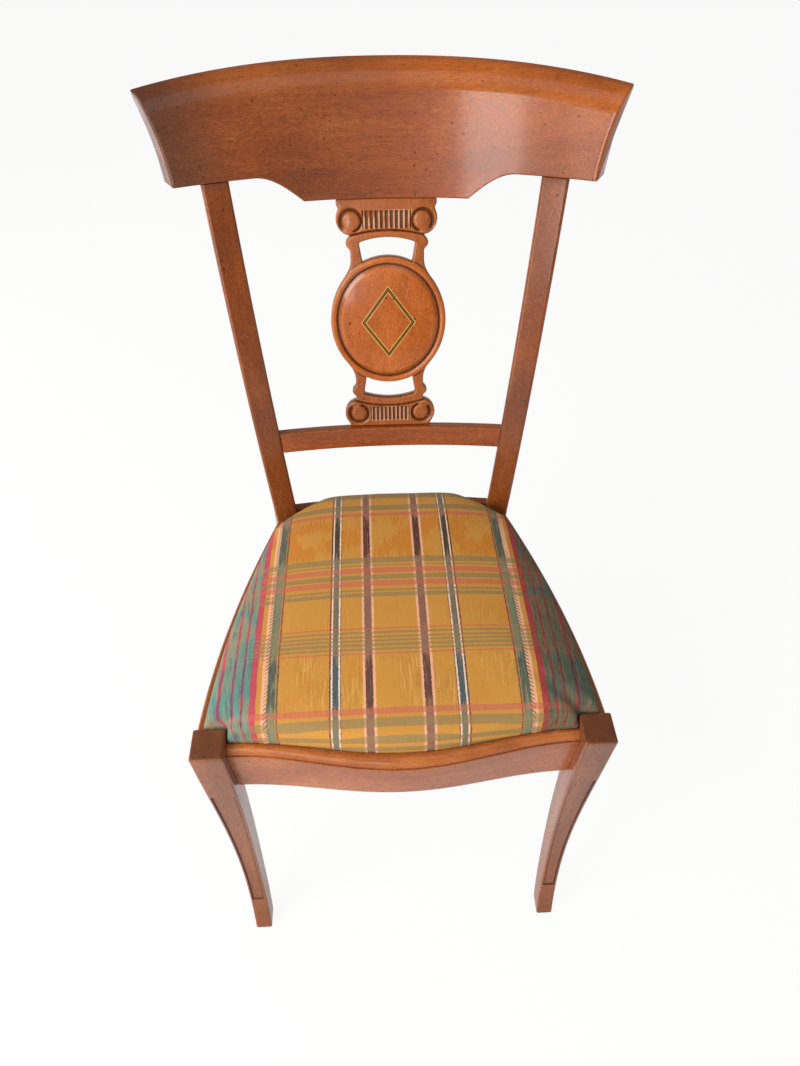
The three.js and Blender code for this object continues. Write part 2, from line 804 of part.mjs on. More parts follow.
// Tongue of the splat between two heights, in the splat's own plane.
function splatTenon(from, to, grow) {
  const middle = -splatThickness / 2;
  return box(
    -splatTenonWidth / 2 - grow, splatTenonWidth / 2 + grow, from - grow, to + grow,
    middle - splatTenonThickness / 2 - grow, middle + splatTenonThickness / 2 + grow,
  );
}

// Moves a solid from the splat's plane into the chair.
function standUp(body) {
  const geometry = geometryOf(body);
  geometry.applyMatrix4(new THREE.Matrix4().makeRotationX(Math.PI / 2 - splat.slope));
  geometry.translate(0, splat.footY, splat.footZ);
  return solid(geometry);
}

function splatMortises() {
  const upper = splatTenon(splat.height - cutOverrun, splat.height + splatTenonLength, fitGap);
  const lower = splatTenon(-splatTenonLength, cutOverrun, fitGap);
  return [standUp(upper), standUp(lower)];
}

// One mitred side of the dark diamond; x and y give its quarter.
function diamondBand(quarterX, quarterY) {
  const mitre = fitGap / 2;
  const edge = (inset) => {
    const [halfWidth, halfHeight] = diamondHalves(inset);
    return [
      [halfWidth * (1 - mitre / halfHeight), mitre],
      [mitre, halfHeight * (1 - mitre / halfWidth)],
    ];
  };
  const [outer, inner] = [edge(bandStart), edge(bandEnd)];
  const points = [...outer, ...inner.reverse()];
  const shape = new THREE.Shape(points.map(([x, y]) =>
    new THREE.Vector2(quarterX * x, medallionHeight + quarterY * y)));
  return splatSlab(shape, fieldRise - inlayThickness, fieldRise);
}

function stringing(outerInset) {
  const shape = diamondRing(outerInset, outerInset + stringingWidth);
  return splatSlab(shape, fieldRise - inlayThickness, fieldRise);
}

// Dowel places: the middle of each joint, the direction across it, and its two heights.
function dowelJoints() {
  const heights = (shares) => shares.map((share) => mix(railBottom, shelfTop, share));
  const frontMiddle = (frontRailFace(blockInner) + blockSide) / 2;
  const sideMiddle = (y) => sideRailFace(y) - sideRailThickness / 2;
  const rearMiddle = rearRailBack(postInner(railTop)) - rearRailThickness / 2;
  const rearRailEnd = postInner(railTop) + (rearMiddle - postFace(railTop)) * Math.tan(postTurn);
  return [
    { name: "front_rail", x: blockInner, y: frontMiddle, acrossX: true, heights: heights(frontDowelShares) },
    { name: "side_rail_front", x: sideMiddle(blockSide), y: blockSide, heights: heights(sideDowelShares) },
    { name: "side_rail_rear", x: sideMiddle(seatDepth), y: seatDepth, heights: heights(sideDowelShares) },
    { name: "rear_rail", x: rearRailEnd, y: rearMiddle, acrossX: true, heights: heights(rearDowelShares) },
  ];
}

// Every dowel as a name, a rod and the hole that it needs.
function dowels() {
  return [-1, 1].flatMap((side) => dowelJoints().flatMap((joint) => joint.heights.map((z, i) => {
    const along = joint.acrossX ? new THREE.Vector3(1, 0, 0) : new THREE.Vector3(0, 1, 0);
    const make = (length, radius) => {
      const start = new THREE.Vector3(side * joint.x, joint.y, z).addScaledVector(along, -length / 2);
      return rod(start, along, length, radius);
    };
    return {
      name: `${sideName(side)}_${joint.name}_dowel_${i + 1}`,
      body: make(dowelLength, dowelRadius),
      hole: make(dowelLength + 2 * dowelEndGap, dowelRadius + dowelGap),
    };
  })));
}

function sideName(side) {
  return side < 0 ? "left" : "right";
}

const blockHigh = shelfTop - cornerBlockDrop;
const blockLow = blockHigh - cornerBlockHeight;

// The four inner corners: place, and the way each triangle opens towards the rear or front.
function corners() {
  return [-1, 1].flatMap((side) => [
    { name: "front", side, y: blockSide + fitGap, opens: 1 },
    { name: "rear", side, y: rearRailBack(postInner(railTop)) - rearRailThickness - fitGap, opens: -1 },
  ].map((corner) => {
    const x = sideRailFace(corner.y) - sideRailThickness - fitGap;
    return { ...corner, x };
  }));
}

// Two screws for each corner block: one into the rail across, one into the side rail.
function cornerScrews(corner) {
  const middle = (blockHigh + blockLow) / 2;
  const inwardX = -corner.side;
  const screwY = corner.y + corner.opens * screwInset;
  const railX = sideRailFace(screwY) - sideRailThickness - fitGap;
  const grip = screwLength - screwBite;
  return [
    {
      head: new THREE.Vector3(
        corner.side * (corner.x - screwInset), corner.y + corner.opens * grip, middle - screwStagger / 2),
      along: new THREE.Vector3(0, -corner.opens, 0),
    },
    {
      head: new THREE.Vector3(corner.side * railX + inwardX * grip, screwY, middle + screwStagger / 2),
      along: new THREE.Vector3(-inwardX, 0, 0),
    },
  ];
}

// Wood screw: pan head and plain shank, turned on its axis.
function screwBody({ head, along }) {
  const profile = [
    [0, -screwHeadHeight], [screwHeadRadius * screwHeadTopShare, -screwHeadHeight], [screwHeadRadius, 0],
    [screwRadius, 0], [screwRadius, screwLength - screwTip], [0, screwLength],
  ];
  const geometry = new THREE.LatheGeometry(profile.map(([x, y]) => new THREE.Vector2(x, y)), 8);
  geometry.applyQuaternion(new THREE.Quaternion().setFromUnitVectors(new THREE.Vector3(0, 1, 0), along));
  geometry.translate(head.x, head.y, head.z);
  return solid(geometry);
}

// Room for a screw: a bore for its shank and a wider one for its head and driver.
function screwHole({ head, along }) {
  const back = along.clone().negate();
  const shank = rod(
    head.clone().addScaledVector(back, cutOverrun), along,
    screwLength + cutOverrun + dowelEndGap, screwRadius + screwHoleGap, 8,
  );
  const driver = rod(
    head.clone().addScaledVector(along, fitGap), back, cornerBlockLeg, screwHeadRadius + screwHoleGap, 8,
  );
  return join(shank, driver);
}

// Triangular glue block: its outer corner is cut to the rails and post that it meets.
function cornerBlock(corner, neighbours) {
  const sideY = corner.y + corner.opens * cornerBlockLeg;
  const inRail = (y) => corner.side * (sideRailFace(y) - sideRailThickness / 2);
  const points = [
    [inRail(corner.y), corner.y],
    [corner.side * (corner.x - cornerBlockLeg), corner.y],
    [inRail(sideY), sideY],
  ];
  const holes = cornerScrews(corner).map(screwHole);
  return cut(prism(points, blockLow, blockHigh), ...neighbours, ...holes);
}

const seatMiddleY = (blockSide + seatDepth) / 2;

// Outline of the loose seat, drawn in by an inset from the lips, blocks and posts.
// It runs anticlockwise from the middle of the front and is made of its right half and a mirror.
function seatOutline(inset) {
  const notchX = blockInner - inset;
  const notchY = blockSide + inset;
  const cornerY = seatDepth - rearCornerStart;
  const sideX = (y) => sideRailFace(y) - sideLipWidth - inset;
  const rearY = (x) => rearRailBack(x) - rearLipWidth - inset;
  const rearX = postInner(railTop) - rearCornerReach - inset;
  const front = steps(seatEdgeSteps).map((share) => {
    const x = notchX * share;
    return [x, frontLipBack(x) + inset];
  });
  const sides = steps(seatEdgeSteps).map((share) => {
    const y = mix(notchY, cornerY, share);
    return [sideX(y), y];
  });
  const start = new THREE.Vector2(sideX(cornerY), cornerY);
  const finish = new THREE.Vector2(rearX, rearY(rearX));
  const onward = new THREE.Vector2(sideX(cornerY + rearCornerPull), cornerY + rearCornerPull);
  const before = new THREE.Vector2(rearX + rearCornerPull, rearY(rearX + rearCornerPull));
  const corner = new THREE.CubicBezierCurve(start, onward, before, finish)
    .getPoints(seatEdgeSteps).slice(1).map((point) => [point.x, point.y]);
  const rear = steps(seatRearSteps).slice(1).map((share) => {
    const x = rearX * (1 - share);
    return [x, rearY(x)];
  });
  const half = [...front, [notchX, notchY], ...sides, ...corner, ...rear];
  return [...half, ...half.slice(1, -1).reverse().map(([x, y]) => [-x, y])];
}

const hemBottom = shelfTop + fitGap;
const frameBottom = hemBottom + coverThickness + fitGap;
const frameTop = frameBottom + seatFrameThickness;
const foamBottom = frameTop + fitGap + webbingThickness + fitGap;
const wallTop = shelfTop + seatWallHeight;
const foamInset = seatClearance + coverThickness + fitGap;

// Four rails of the seat's own frame: the front and rear ones run through.
function seatFrame() {
  const outline = seatOutline(foamInset);
  const frontEdge = blockSide + foamInset + seatFrameWidth;
  const rearEdge = seatDepth - seatFrameWidth / 2;
  const inner = (y) => sideRailFace(y) - sideLipWidth - foamInset - seatFrameWidth;
  const opening = prism(
    [[-inner(frontEdge), frontEdge], [inner(frontEdge), frontEdge],
      [inner(rearEdge), rearEdge], [-inner(rearEdge), rearEdge]],
    frameBottom - cutOverrun, frameTop + cutOverrun,
  );
  const ring = cut(prism(outline, frameBottom, frameTop), opening);
  const reach = blockOuterWidth;
  const [low, high] = [frameBottom - cutOverrun, frameTop + cutOverrun];
  const slice = (x0, x1, y0, y1) => ring.intersect(box(x0, x1, y0, y1, low, high));
  return {
    seat_frame_front: slice(-reach, reach, -reach, frontEdge),
    seat_frame_rear: slice(-reach, reach, rearEdge, reach),
    seat_frame_left: slice(-reach, 0, frontEdge + fitGap, rearEdge - fitGap),
    seat_frame_right: slice(0, reach, frontEdge + fitGap, rearEdge - fitGap),
  };
}

// Elastic bands stretched from side to side over the seat frame.
function webbing(index) {
  const start = blockSide + seatFrameWidth;
  const pitch = (seatDepth - seatFrameWidth / 2 - start) / webbingCount;
  const front = start + pitch * (index + (1 - webbingCoverShare) / 2);
  const rear = front + pitch * webbingCoverShare;
  const reach = (at) => sideRailFace(at) - sideLipWidth - foamInset - webbingFoldback;
  const points = [[-reach(front), front], [reach(front), front], [reach(rear), rear], [-reach(rear), rear]];
  return prism(points, frameTop + fitGap, frameTop + fitGap + webbingThickness);
}

// One ring of the upholstery at a share of the way from the middle to the edge.
function crownRing(outline, rise, spread) {
  const z = wallTop + rise * (1 - spread ** crownPowerShare) ** crownSquareShare;
  return outline.map(([x, y]) => [x * spread, mix(seatMiddleY, y, spread), z]);
}

// Rings of the crown from the edge in towards the middle.
function crown(inset, rise) {
  const outline = seatOutline(inset + seatWallLean);
  return steps(crownRings).slice(0, -1).map((share) => {
    const spread = Math.cos((share * Math.PI) / 2);
    return crownRing(outline, rise, spread);
  });
}

function levelRing(inset, z) {
  return seatOutline(inset).map(([x, y]) => [x, y, z]);
}

function foamPad() {
  const shrink = coverThickness + fitGap;
  return loft([
    levelRing(foamInset, foamBottom),
    ...crown(foamInset + fitGap, seatCrown - shrink - fitGap),
  ]);
}

// Woven cover: over the crown, down the sides and a hem under the frame.
function seatCover() {
  const inside = seatClearance + coverThickness;
  const hemInset = seatClearance + hemWidth;
  const outer = [
    levelRing(hemInset, hemBottom), levelRing(seatClearance, hemBottom), levelRing(seatClearance, foamBottom),
    ...crown(seatClearance, seatCrown),
  ];
  const inner = [
    levelRing(hemInset, hemBottom + coverThickness), levelRing(inside, hemBottom + coverThickness),
    levelRing(inside, foamBottom),
    ...crown(inside, seatCrown - coverThickness),
  ];
  return loft([...inner.reverse(), ...outer]);
}

function dustCover() {
  const inset = Math.max(sideRailThickness - sideLipWidth, rearRailThickness - rearLipWidth) + dustCoverInset;
  const top = hemBottom - fitGap;
  const frontLimit = blockSide + dustCoverInset;
  const outline = seatOutline(inset).map(([x, y]) => [x, Math.max(y, frontLimit)]);
  const distinct = outline.filter(([x, y], i) => {
    const [nextX, nextY] = outline[(i + 1) % outline.length];
    return Math.hypot(x - nextX, y - nextY) > fitGap;
  });
  return prism(distinct, top - dustCoverThickness, top);
}

const finishes = {
  wood: { color: 0x9a5228, roughness: 0.38 },
  innerWood: { color: 0xc9a577, roughness: 0.75 },
  darkInlay: { color: 0x4a3f22, roughness: 0.4 },
  lightInlay: { color: 0xe0b765, roughness: 0.4 },
  steel: { color: 0xa8a8a4, roughness: 0.4, metalness: 1 },
  webbing: { color: 0x2b2b2b, roughness: 0.9 },
  foam: { color: 0xe8dfc2, roughness: 0.95 },
  plaid: { color: 0xc4973f, roughness: 0.9 },
  dustCover: { color: 0x1c1c1c, roughness: 0.95 },
};

function piece(parent, name, body, finish) {
  const material = new THREE.MeshStandardMaterial({ ...finishes[finish], name: finish });
  const mesh = new THREE.Mesh(geometryOf(body), material);
  mesh.name = name;
  parent.add(mesh);
}

const chair = new THREE.Group();
const sides = [-1, 1];
const allDowels = dowels();
const dowelHoles = allDowels.map((dowel) => dowel.hole);
const allCorners = corners();
const screwHoles = allCorners.flatMap((corner) => cornerScrews(corner).map(screwHole));
const grownPosts = sides.map((side) => postBody(side, fitGap));
const [upperMortise, lowerMortise] = splatMortises();

for (const side of sides) {
  const name = sideName(side);
  piece(chair, `${name}_front_leg`, cut(frontLeg(side), ...dowelHoles), "wood");
  const post = join(postBody(side, 0), postTenon(side, 0));
  piece(chair, `${name}_rear_post`, cut(post, crossTenon(side, fitGap), ...dowelHoles), "wood");
  const sideRail = cut(sideRailBody(side, 0), behindPost(side), ...dowelHoles, ...screwHoles);
  piece(chair, `${name}_side_rail`, sideRail, "wood");
}
piece(chair, "front_rail", cut(frontRail(), ...dowelHoles, ...screwHoles), "wood");
piece(chair, "rear_rail", cut(rearRailBody(0), ...grownPosts, ...dowelHoles, ...screwHoles), "wood");
const crestMortises = sides.map((side) => postTenon(side, fitGap));
piece(chair, "crest_rail", cut(crestBody(), ...crestMortises, upperMortise), "wood");
const crossTenons = sides.map((side) => crossTenon(side, 0));
const crossRail = join(cut(crossRailBody(), ...grownPosts), ...crossTenons);
piece(chair, "cross_rail", cut(crossRail, lowerMortise), "wood");

for (const dowel of allDowels) piece(chair, dowel.name, dowel.body, "innerWood");

const grownRails = [...sides.map((side) => sideRailBody(side, fitGap)), rearRailBody(fitGap), ...grownPosts];
for (const corner of allCorners) {
  const name = `${sideName(corner.side)}_${corner.name}_corner_block`;
  piece(chair, name, cornerBlock(corner, grownRails), "innerWood");
  cornerScrews(corner).forEach((screw, i) => {
    piece(chair, `${name}_screw_${i + 1}`, screwBody(screw), "steel");
  });
}

// The splat and its inlay are shaped flat and then leaned back together.
const splatGroup = new THREE.Group();
splatGroup.rotation.x = Math.PI / 2 - splat.slope;
splatGroup.position.set(0, splat.footY, splat.footZ);
piece(splatGroup, "splat", splatBody(), "wood");
piece(splatGroup, "outer_stringing", stringing(0), "lightInlay");
piece(splatGroup, "inner_stringing", stringing(bandEnd + fitGap), "lightInlay");
for (const side of sides) {
  piece(splatGroup, `${sideName(side)}_upper_diamond_band`, diamondBand(side, 1), "darkInlay");
  piece(splatGroup, `${sideName(side)}_lower_diamond_band`, diamondBand(side, -1), "darkInlay");
}
chair.add(splatGroup);

for (const [name, body] of Object.entries(seatFrame())) piece(chair, name, body, "innerWood");
for (let i = 0; i < webbingCount; i++) piece(chair, `webbing_${i + 1}`, webbing(i), "webbing");
piece(chair, "foam_pad", foamPad(), "foam");
piece(chair, "seat_cover", seatCover(), "plaid");
piece(chair, "dust_cover", dustCover(), "dustCover");

// The origin is on the floor under the middle of the chair's outer box.
const extent = new THREE.Box3().setFromObject(chair);
chair.position.y = -(extent.min.y + extent.max.y) / 2;

export default chair;
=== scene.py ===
# A dining chair: a carved splat between two raked posts, sabre legs, and a drop-in seat in plaid cloth.
# Lengths are in metres in the chair's own frame: X to the right as seen from the front, Y towards
# the back and Z up, with the floor at Z = 0.

import math

import bpy
import numpy as np
from mathutils import Matrix, Vector


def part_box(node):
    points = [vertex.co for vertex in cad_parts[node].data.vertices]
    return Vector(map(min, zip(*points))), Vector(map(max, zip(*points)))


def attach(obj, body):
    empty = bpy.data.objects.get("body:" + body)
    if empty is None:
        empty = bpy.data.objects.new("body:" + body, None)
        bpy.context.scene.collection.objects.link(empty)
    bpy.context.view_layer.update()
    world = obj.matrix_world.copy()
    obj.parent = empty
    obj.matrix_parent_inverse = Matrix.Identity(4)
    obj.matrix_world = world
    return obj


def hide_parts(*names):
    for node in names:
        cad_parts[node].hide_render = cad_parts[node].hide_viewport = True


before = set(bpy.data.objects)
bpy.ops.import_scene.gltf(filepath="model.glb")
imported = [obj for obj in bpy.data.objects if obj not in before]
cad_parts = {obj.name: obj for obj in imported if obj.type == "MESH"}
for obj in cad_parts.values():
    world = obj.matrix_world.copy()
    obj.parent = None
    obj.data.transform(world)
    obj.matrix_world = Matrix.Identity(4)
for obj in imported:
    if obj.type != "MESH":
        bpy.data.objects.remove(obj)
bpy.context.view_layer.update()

# Camera
# It looks down on the chair from above the front of the seat. Its place and tilt were worked out
# from the photograph, where the legs, rails and back shrink with distance.
photo_height = 1066  # pixels
focal_length = 700  # pixels
sensor_size = 36  # millimetres, along the picture's height
camera_place = Vector((-0.0243, -0.5725, 1.2041))
camera_yaw, camera_pitch, camera_roll = map(math.radians, (-2.92, 48.92, 0.31))

forward = Vector((
    -math.sin(camera_yaw) * math.cos(camera_pitch),
    math.cos(camera_yaw) * math.cos(camera_pitch),
    -math.sin(camera_pitch),
))
level = forward.cross(Vector((0, 0, 1))).normalized()
upright = level.cross(forward)
picture_right = level * math.cos(camera_roll) + upright * math.sin(camera_roll)
picture_up = upright * math.cos(camera_roll) - level * math.sin(camera_roll)

camera = bpy.data.objects.new("camera", bpy.data.cameras.new("camera"))
camera.data.sensor_width = sensor_size
camera.data.lens = sensor_size * focal_length / photo_height
camera.matrix_world = (
    Matrix.Translation(camera_place) @ Matrix((picture_right, picture_up, -forward)).transposed().to_4x4()
)
bpy.context.collection.objects.link(camera)
bpy.context.scene.camera = camera


# Front legs
# Each leg is one piece of cherry: a square block that takes the seat rails, and under it a sabre leg
# that sweeps forward and tapers. A panel is sunk into its front, and its long edges are eased.
block_width = 0.482  # over both blocks
block_side = 0.0375
block_top = 0.455
block_round = 0.0025
foot_spread = 0.454  # over both feet
foot_width = 0.0235
foot_depth = 0.027
front_sweep = 0.071
sweep_top = 0.43
leg_round = 0.0022
panel_depth = 0.0017
panel_bead = 0.0032
panel_wall = 0.0008
panel_top = 0.35
panel_foot = 0.058
leg_inset_power_share = 1.45
leg_taper_share = 0.85
sweep_power_share = 3.6
sweep_straight_share = 0.15
block_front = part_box("left_front_leg")[1][1] - block_side  # where the blocks' front faces lie
sides = {"left": -1, "right": 1}


def mix(start, finish, share):
    """From start to finish by a share."""
    return start + (finish - start) * share


def ease(share):
    """Goes from 0 to 1 with level ends."""
    share = np.clip(share, 0, 1)
    return share * share * (3 - 2 * share)


def soften(corners, radii, chords=5, shoulder=0.3):
    """Rounds the corners of closed outlines: an array of rows, corners and 2 numbers.

    A corner becomes a quarter of an ellipse that touches both of its sides at its radius, with one more
    point just beyond each end, so that flat sides stay flat. The radii are one for each corner, or two:
    towards the corner before it and towards the one after. The second result says how far each point
    has turned its corner, from 0 on the flat to 1 half way, and the third says which corner it is at.
    """
    radii = np.asarray(radii, float)
    if radii.ndim == 1:
        radii = np.stack([radii, radii], axis=-1)
    arms = []
    for number, shift in enumerate((1, -1)):
        step = np.roll(corners, shift, axis=-2) - corners
        length = np.linalg.norm(step, axis=-1, keepdims=True)
        arms.append((step / length) * radii[..., number, None])
    angle = np.linspace(0, math.pi / 2, chords + 1)
    reach_before = np.concatenate([[1 + shoulder], 1 - np.sin(angle), [0]])
    reach_after = np.concatenate([[0], 1 - np.cos(angle), [1 + shoulder]])
    points = (
        corners[..., None, :]
        + arms[0][..., None, :] * reach_before[:, None]
        + arms[1][..., None, :] * reach_after[:, None]
    )
    turn = np.concatenate([[0], np.sin(2 * angle), [0]])
    count = corners.shape[-2]
    return points.reshape(len(corners), -1, 2), np.tile(turn, count), np.repeat(np.arange(count), len(turn))


def add_layer(mesh, label, values):
    """A named value for each point of a mesh, which a material can read."""
    layer = mesh.attributes.new(label, "FLOAT", "POINT")
    layer.data.foreach_set("value", np.ascontiguousarray(values, dtype=np.float32))


def piece_from(name, points, faces, **layers):
    """A mesh piece with smooth shading, and a point attribute for each named layer of values."""
    mesh = bpy.data.meshes.new(name)
    mesh.from_pydata(points.tolist(), [], faces)
    for label, values in layers.items():
        add_layer(mesh, label, values)
    mesh.shade_smooth()
    mesh.set_sharp_from_angle(angle=math.radians(48))
    piece = bpy.data.objects.new(name, mesh)
    bpy.context.collection.objects.link(piece)
    return piece


def skin(name, rings, worn=0.0, grime=0.0):
    """A closed piece through rings of points: an array of rows, columns and 3 numbers.

    Quads join each ring to the next and a fan closes each end. The last two arguments say how far
    the edges are made pale, by wear and painted highlight, and how far places are darkened, by patina
    in the hollows and painted shade, from 0 to 1.
    """
    rows, columns = rings.shape[:2]
    index = np.arange(rows * columns).reshape(rows, columns)
    beside = np.roll(index, -1, axis=1)
    quads = np.stack([index[:-1], beside[:-1], beside[1:], index[1:]], axis=-1).reshape(-1, 4)
    middle = rows * columns
    first = np.stack([beside[0], index[0], np.full(columns, middle)], axis=-1)
    last = np.stack([index[-1], beside[-1], np.full(columns, middle + 1)], axis=-1)
    points = np.concatenate([rings.reshape(-1, 3), rings[[0, -1]].mean(axis=1)])
    triangles = np.concatenate([quads[:, [0, 1, 2]], quads[:, [0, 2, 3]], first, last])
    a, b, c = (points[triangles[:, corner]] for corner in range(3))
    if np.einsum("ij,ij->", a, np.cross(b, c)) < 0:
        quads, first, last = quads[:, ::-1], first[:, ::-1], last[:, ::-1]
    layers = {}
    for label, values in (("worn", worn), ("grime", grime)):
        grid = np.broadcast_to(values, (rows, columns))
        layers[label] = np.concatenate([grid.ravel(), grid[[0, -1]].mean(axis=1)])
    return piece_from(name, points, quads.tolist() + first.tolist() + last.tolist(), **layers)


def feed(tree, item, sockets):
    """Sets a node's inputs by name or number, each to a value or joined to an output."""
    for name, value in sockets.items():
        if isinstance(value, bpy.types.NodeSocket):
            tree.links.new(value, item.inputs[name])
        else:
            item.inputs[name].default_value = value


def place(tree, kind, sockets=None, **settings):
    """Adds a node with its settings, and feeds its sockets."""
    item = tree.nodes.new(kind)
    for name, value in settings.items():
        setattr(item, name, value)
    feed(tree, item, sockets or {})
    return item


def arithmetic(tree, operation, first, second=0.0, third=0.0, clamp=False):
    """The result of one sum on up to three values or outputs."""
    sockets = {0: first, 1: second, 2: third}
    return place(tree, "ShaderNodeMath", sockets, operation=operation, use_clamp=clamp).outputs[0]


def multiply(tree, first, *factors):
    """The product of some values or outputs."""
    for factor in factors:
        first = arithmetic(tree, "MULTIPLY", first, factor)
    return first


def scale_add(tree, value, factor, extra):
    """The value times a factor, with something more added."""
    return arithmetic(tree, "MULTIPLY_ADD", value, factor, extra)


def between(tree, value, low, high, to_low=0.0, to_high=1.0):
    """The value's place between low and high, kept within the two ends."""
    sockets = {"Value": value, "From Min": low, "From Max": high, "To Min": to_low, "To Max": to_high}
    return place(tree, "ShaderNodeMapRange", sockets).outputs[0]


def tint(tree, factor, first, second, blend_type="MIX"):
    """The first colour with a share of the second over it, or with MULTIPLY a share of their product."""
    sockets = {0: factor, 6: first, 7: second}
    return place(tree, "ShaderNodeMix", sockets, data_type="RGBA", blend_type=blend_type).outputs[2]


def stretched(tree, kind, vector, scale, sockets, **settings):
    """A texture whose three scales, in features for each metre, differ."""
    scaled = place(tree, "ShaderNodeVectorMath", {0: vector, 1: scale}, operation="MULTIPLY").outputs[0]
    return place(tree, kind, {"Vector": scaled, "Scale": 1.0, **sockets}, **settings)


def noise(tree, vector, scale, detail=2.0, **sockets):
    """Random clouds from 0 to 1, long where their scale is small."""
    return stretched(tree, "ShaderNodeTexNoise", vector, scale, {"Detail": detail, **sockets}).outputs[0]


def new_group(name, **inputs):
    """An empty shader group that gives a colour, roughness and height, and where its sockets meet it."""
    group = bpy.data.node_groups.new(name, "ShaderNodeTree")
    for label, kind in inputs.items():
        group.interface.new_socket(label, in_out="INPUT", socket_type=f"NodeSocket{kind}")
    for label, kind in (("Color", "Color"), ("Roughness", "Float"), ("Height", "Float")):
        group.interface.new_socket(label, in_out="OUTPUT", socket_type=f"NodeSocket{kind}")
    return group, group.nodes.new("NodeGroupInput").outputs, group.nodes.new("NodeGroupOutput").inputs


def new_material(name):
    """A material, its node tree and its surface shader."""
    material = bpy.data.materials.new(name)
    material.use_nodes = True
    return material, material.node_tree, material.node_tree.nodes["Principled BSDF"]


def point_layer(tree, label):
    """The value that add_layer gave to each point."""
    return place(tree, "ShaderNodeAttribute", attribute_name=label).outputs["Fac"]


def show_pattern(tree, shader, pattern, strength, depth):
    """Feeds a shader with a group's colour and roughness, and with its height as bump."""
    relief = {"Height": pattern.outputs["Height"], "Strength": strength, "Distance": depth}
    bump = place(tree, "ShaderNodeBump", relief).outputs[0]
    feed(tree, shader, {
        "Base Color": pattern.outputs["Color"], "Roughness": pattern.outputs["Roughness"], "Normal": bump,
    })


def make_timber():
    """Stained and lacquered wood whose grain runs along the X of the vector that it is given.

    Soft bands, streaks, fibres, a fine speckle and short dark flecks lie along the grain, under clouds of
    stain. Over them come pin holes, a few pale scratches, pale edges from wear and painted highlight, and
    darkening from wax in the hollows and painted shade.
    """
    group, given, result = new_group(
        "timber", Grain="Vector", Deep="Color", Middle="Color", Light="Color", Worn="Float", Grime="Float",
    )
    grain = given["Grain"]
    bands = noise(group, grain, (2.6, 34, 34), Distortion=0.3)
    streaks = noise(group, grain, (14, 260, 260))
    fibres = noise(group, grain, (70, 1100, 1100))
    speckle = noise(group, grain, (420, 1000, 1000), 1.0)
    flecks = noise(group, grain, (110, 950, 950), 1.0)
    clouds = noise(group, grain, (6, 9, 9))
    parts = ((bands, 0.24), (streaks, 0.14), (fibres, 0.2), (speckle, 0.3), (clouds, 0.34))
    tone = -0.11
    for texture, weight in parts:
        tone = scale_add(group, between(group, texture, 0.3, 0.7), weight, tone)
    color = tint(group, between(group, tone, 0.05, 0.5), given["Deep"], given["Middle"])
    color = tint(group, between(group, tone, 0.5, 0.95), color, given["Light"])
    color = tint(group, between(group, flecks, 0.53, 0.66, 0.0, 0.55), color, given["Deep"])

    holes = stretched(group, "ShaderNodeTexVoronoi", grain, (80, 80, 80), {"Randomness": 1.0})
    chosen = place(group, "ShaderNodeSeparateColor", {0: holes.outputs["Color"]}).outputs[0]
    hole = between(group, holes.outputs["Distance"], 0.085, 0.11, 1.0, 0.0)
    hole = multiply(group, hole, arithmetic(group, "GREATER_THAN", chosen, 0.42))
    color = tint(group, multiply(group, hole, 0.94), color, (0.012, 0.006, 0.004, 1))

    lines = stretched(
        group, "ShaderNodeTexVoronoi", grain, (55, 90, 90), {"Randomness": 1.0}, feature="DISTANCE_TO_EDGE",
    ).outputs[0]
    spread = noise(group, grain, (37, 37, 37))
    scratch = between(group, lines, 0.012, 0.03, 1.0, 0.0)
    scratch = multiply(group, scratch, between(group, spread, 0.65, 0.7))
    color = tint(group, multiply(group, scratch, 0.13), color, (0.75, 0.4, 0.2, 1))

    # Pale edges are wear and painted highlight, palest on the flute ridges; the dark tint below is wax in
    # the hollows and painted shade.
    rubbed = multiply(group, given["Worn"], between(group, spread, 0.3, 0.6, 0.3, 1.0))
    color = tint(group, multiply(group, rubbed, 0.6), color, given["Light"])
    color = tint(group, between(group, rubbed, 1.05, 1.6, 0.0, 0.6), color, (0.78, 0.5, 0.34, 1))
    waxed = multiply(group, given["Grime"], between(group, fibres, 0.25, 0.65, 0.75, 1.0))
    color = tint(group, waxed, color, (0.022, 0.009, 0.006, 1))
    group.links.new(color, result["Color"])

    rough = scale_add(group, between(group, streaks, 0.3, 0.7), 0.07, 0.19)
    rough = scale_add(group, given["Grime"], 0.3, rough)
    rough = scale_add(group, scratch, 0.15, rough)
    group.links.new(rough, result["Roughness"])
    height = scale_add(group, streaks, 0.5, multiply(group, fibres, 0.4))
    height = arithmetic(group, "SUBTRACT", height, multiply(group, hole, 1.6))
    height = arithmetic(group, "SUBTRACT", height, multiply(group, scratch, 0.3))
    group.links.new(height, result["Height"])
    return group


timber = make_timber()
grain_turns = {"x": (0, 0, 0), "y": (0, 0, -math.pi / 2), "z": (0, math.pi / 2, 0)}


def stained_wood(name, grain, deep, middle, light, offset=(0, 0, 0), coat=0.3):
    """Lacquered wood, its grain along x, y or z, in three tones from pools of stain to thin spots."""
    material, tree, shader = new_material(name)
    position = place(tree, "ShaderNodeTexCoord").outputs["Object"]
    mapping = {"Vector": position, "Location": offset, "Rotation": grain_turns[grain]}
    stain = place(tree, "ShaderNodeGroup", node_tree=timber)
    feed(tree, stain, {
        "Grain": place(tree, "ShaderNodeMapping", mapping).outputs[0],
        "Deep": (*deep, 1), "Middle": (*middle, 1), "Light": (*light, 1),
        "Worn": point_layer(tree, "worn"), "Grime": point_layer(tree, "grime"),
    })
    show_pattern(tree, shader, stain, 0.35, 0.0004)
    feed(tree, shader, {"Specular IOR Level": 0.3, "Coat Weight": coat, "Coat Roughness": 0.07})
    return material


def dress(piece, finish, nodes, body="frame"):
    """Gives a piece its material, and puts it on a body in place of its CAD nodes."""
    piece.data.materials.append(finish)
    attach(piece, body)
    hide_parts(*nodes)


def leg_drop(z):
    """0 where the leg's sweep starts and 1 at the floor."""
    return np.maximum(0, 1 - z / sweep_top)


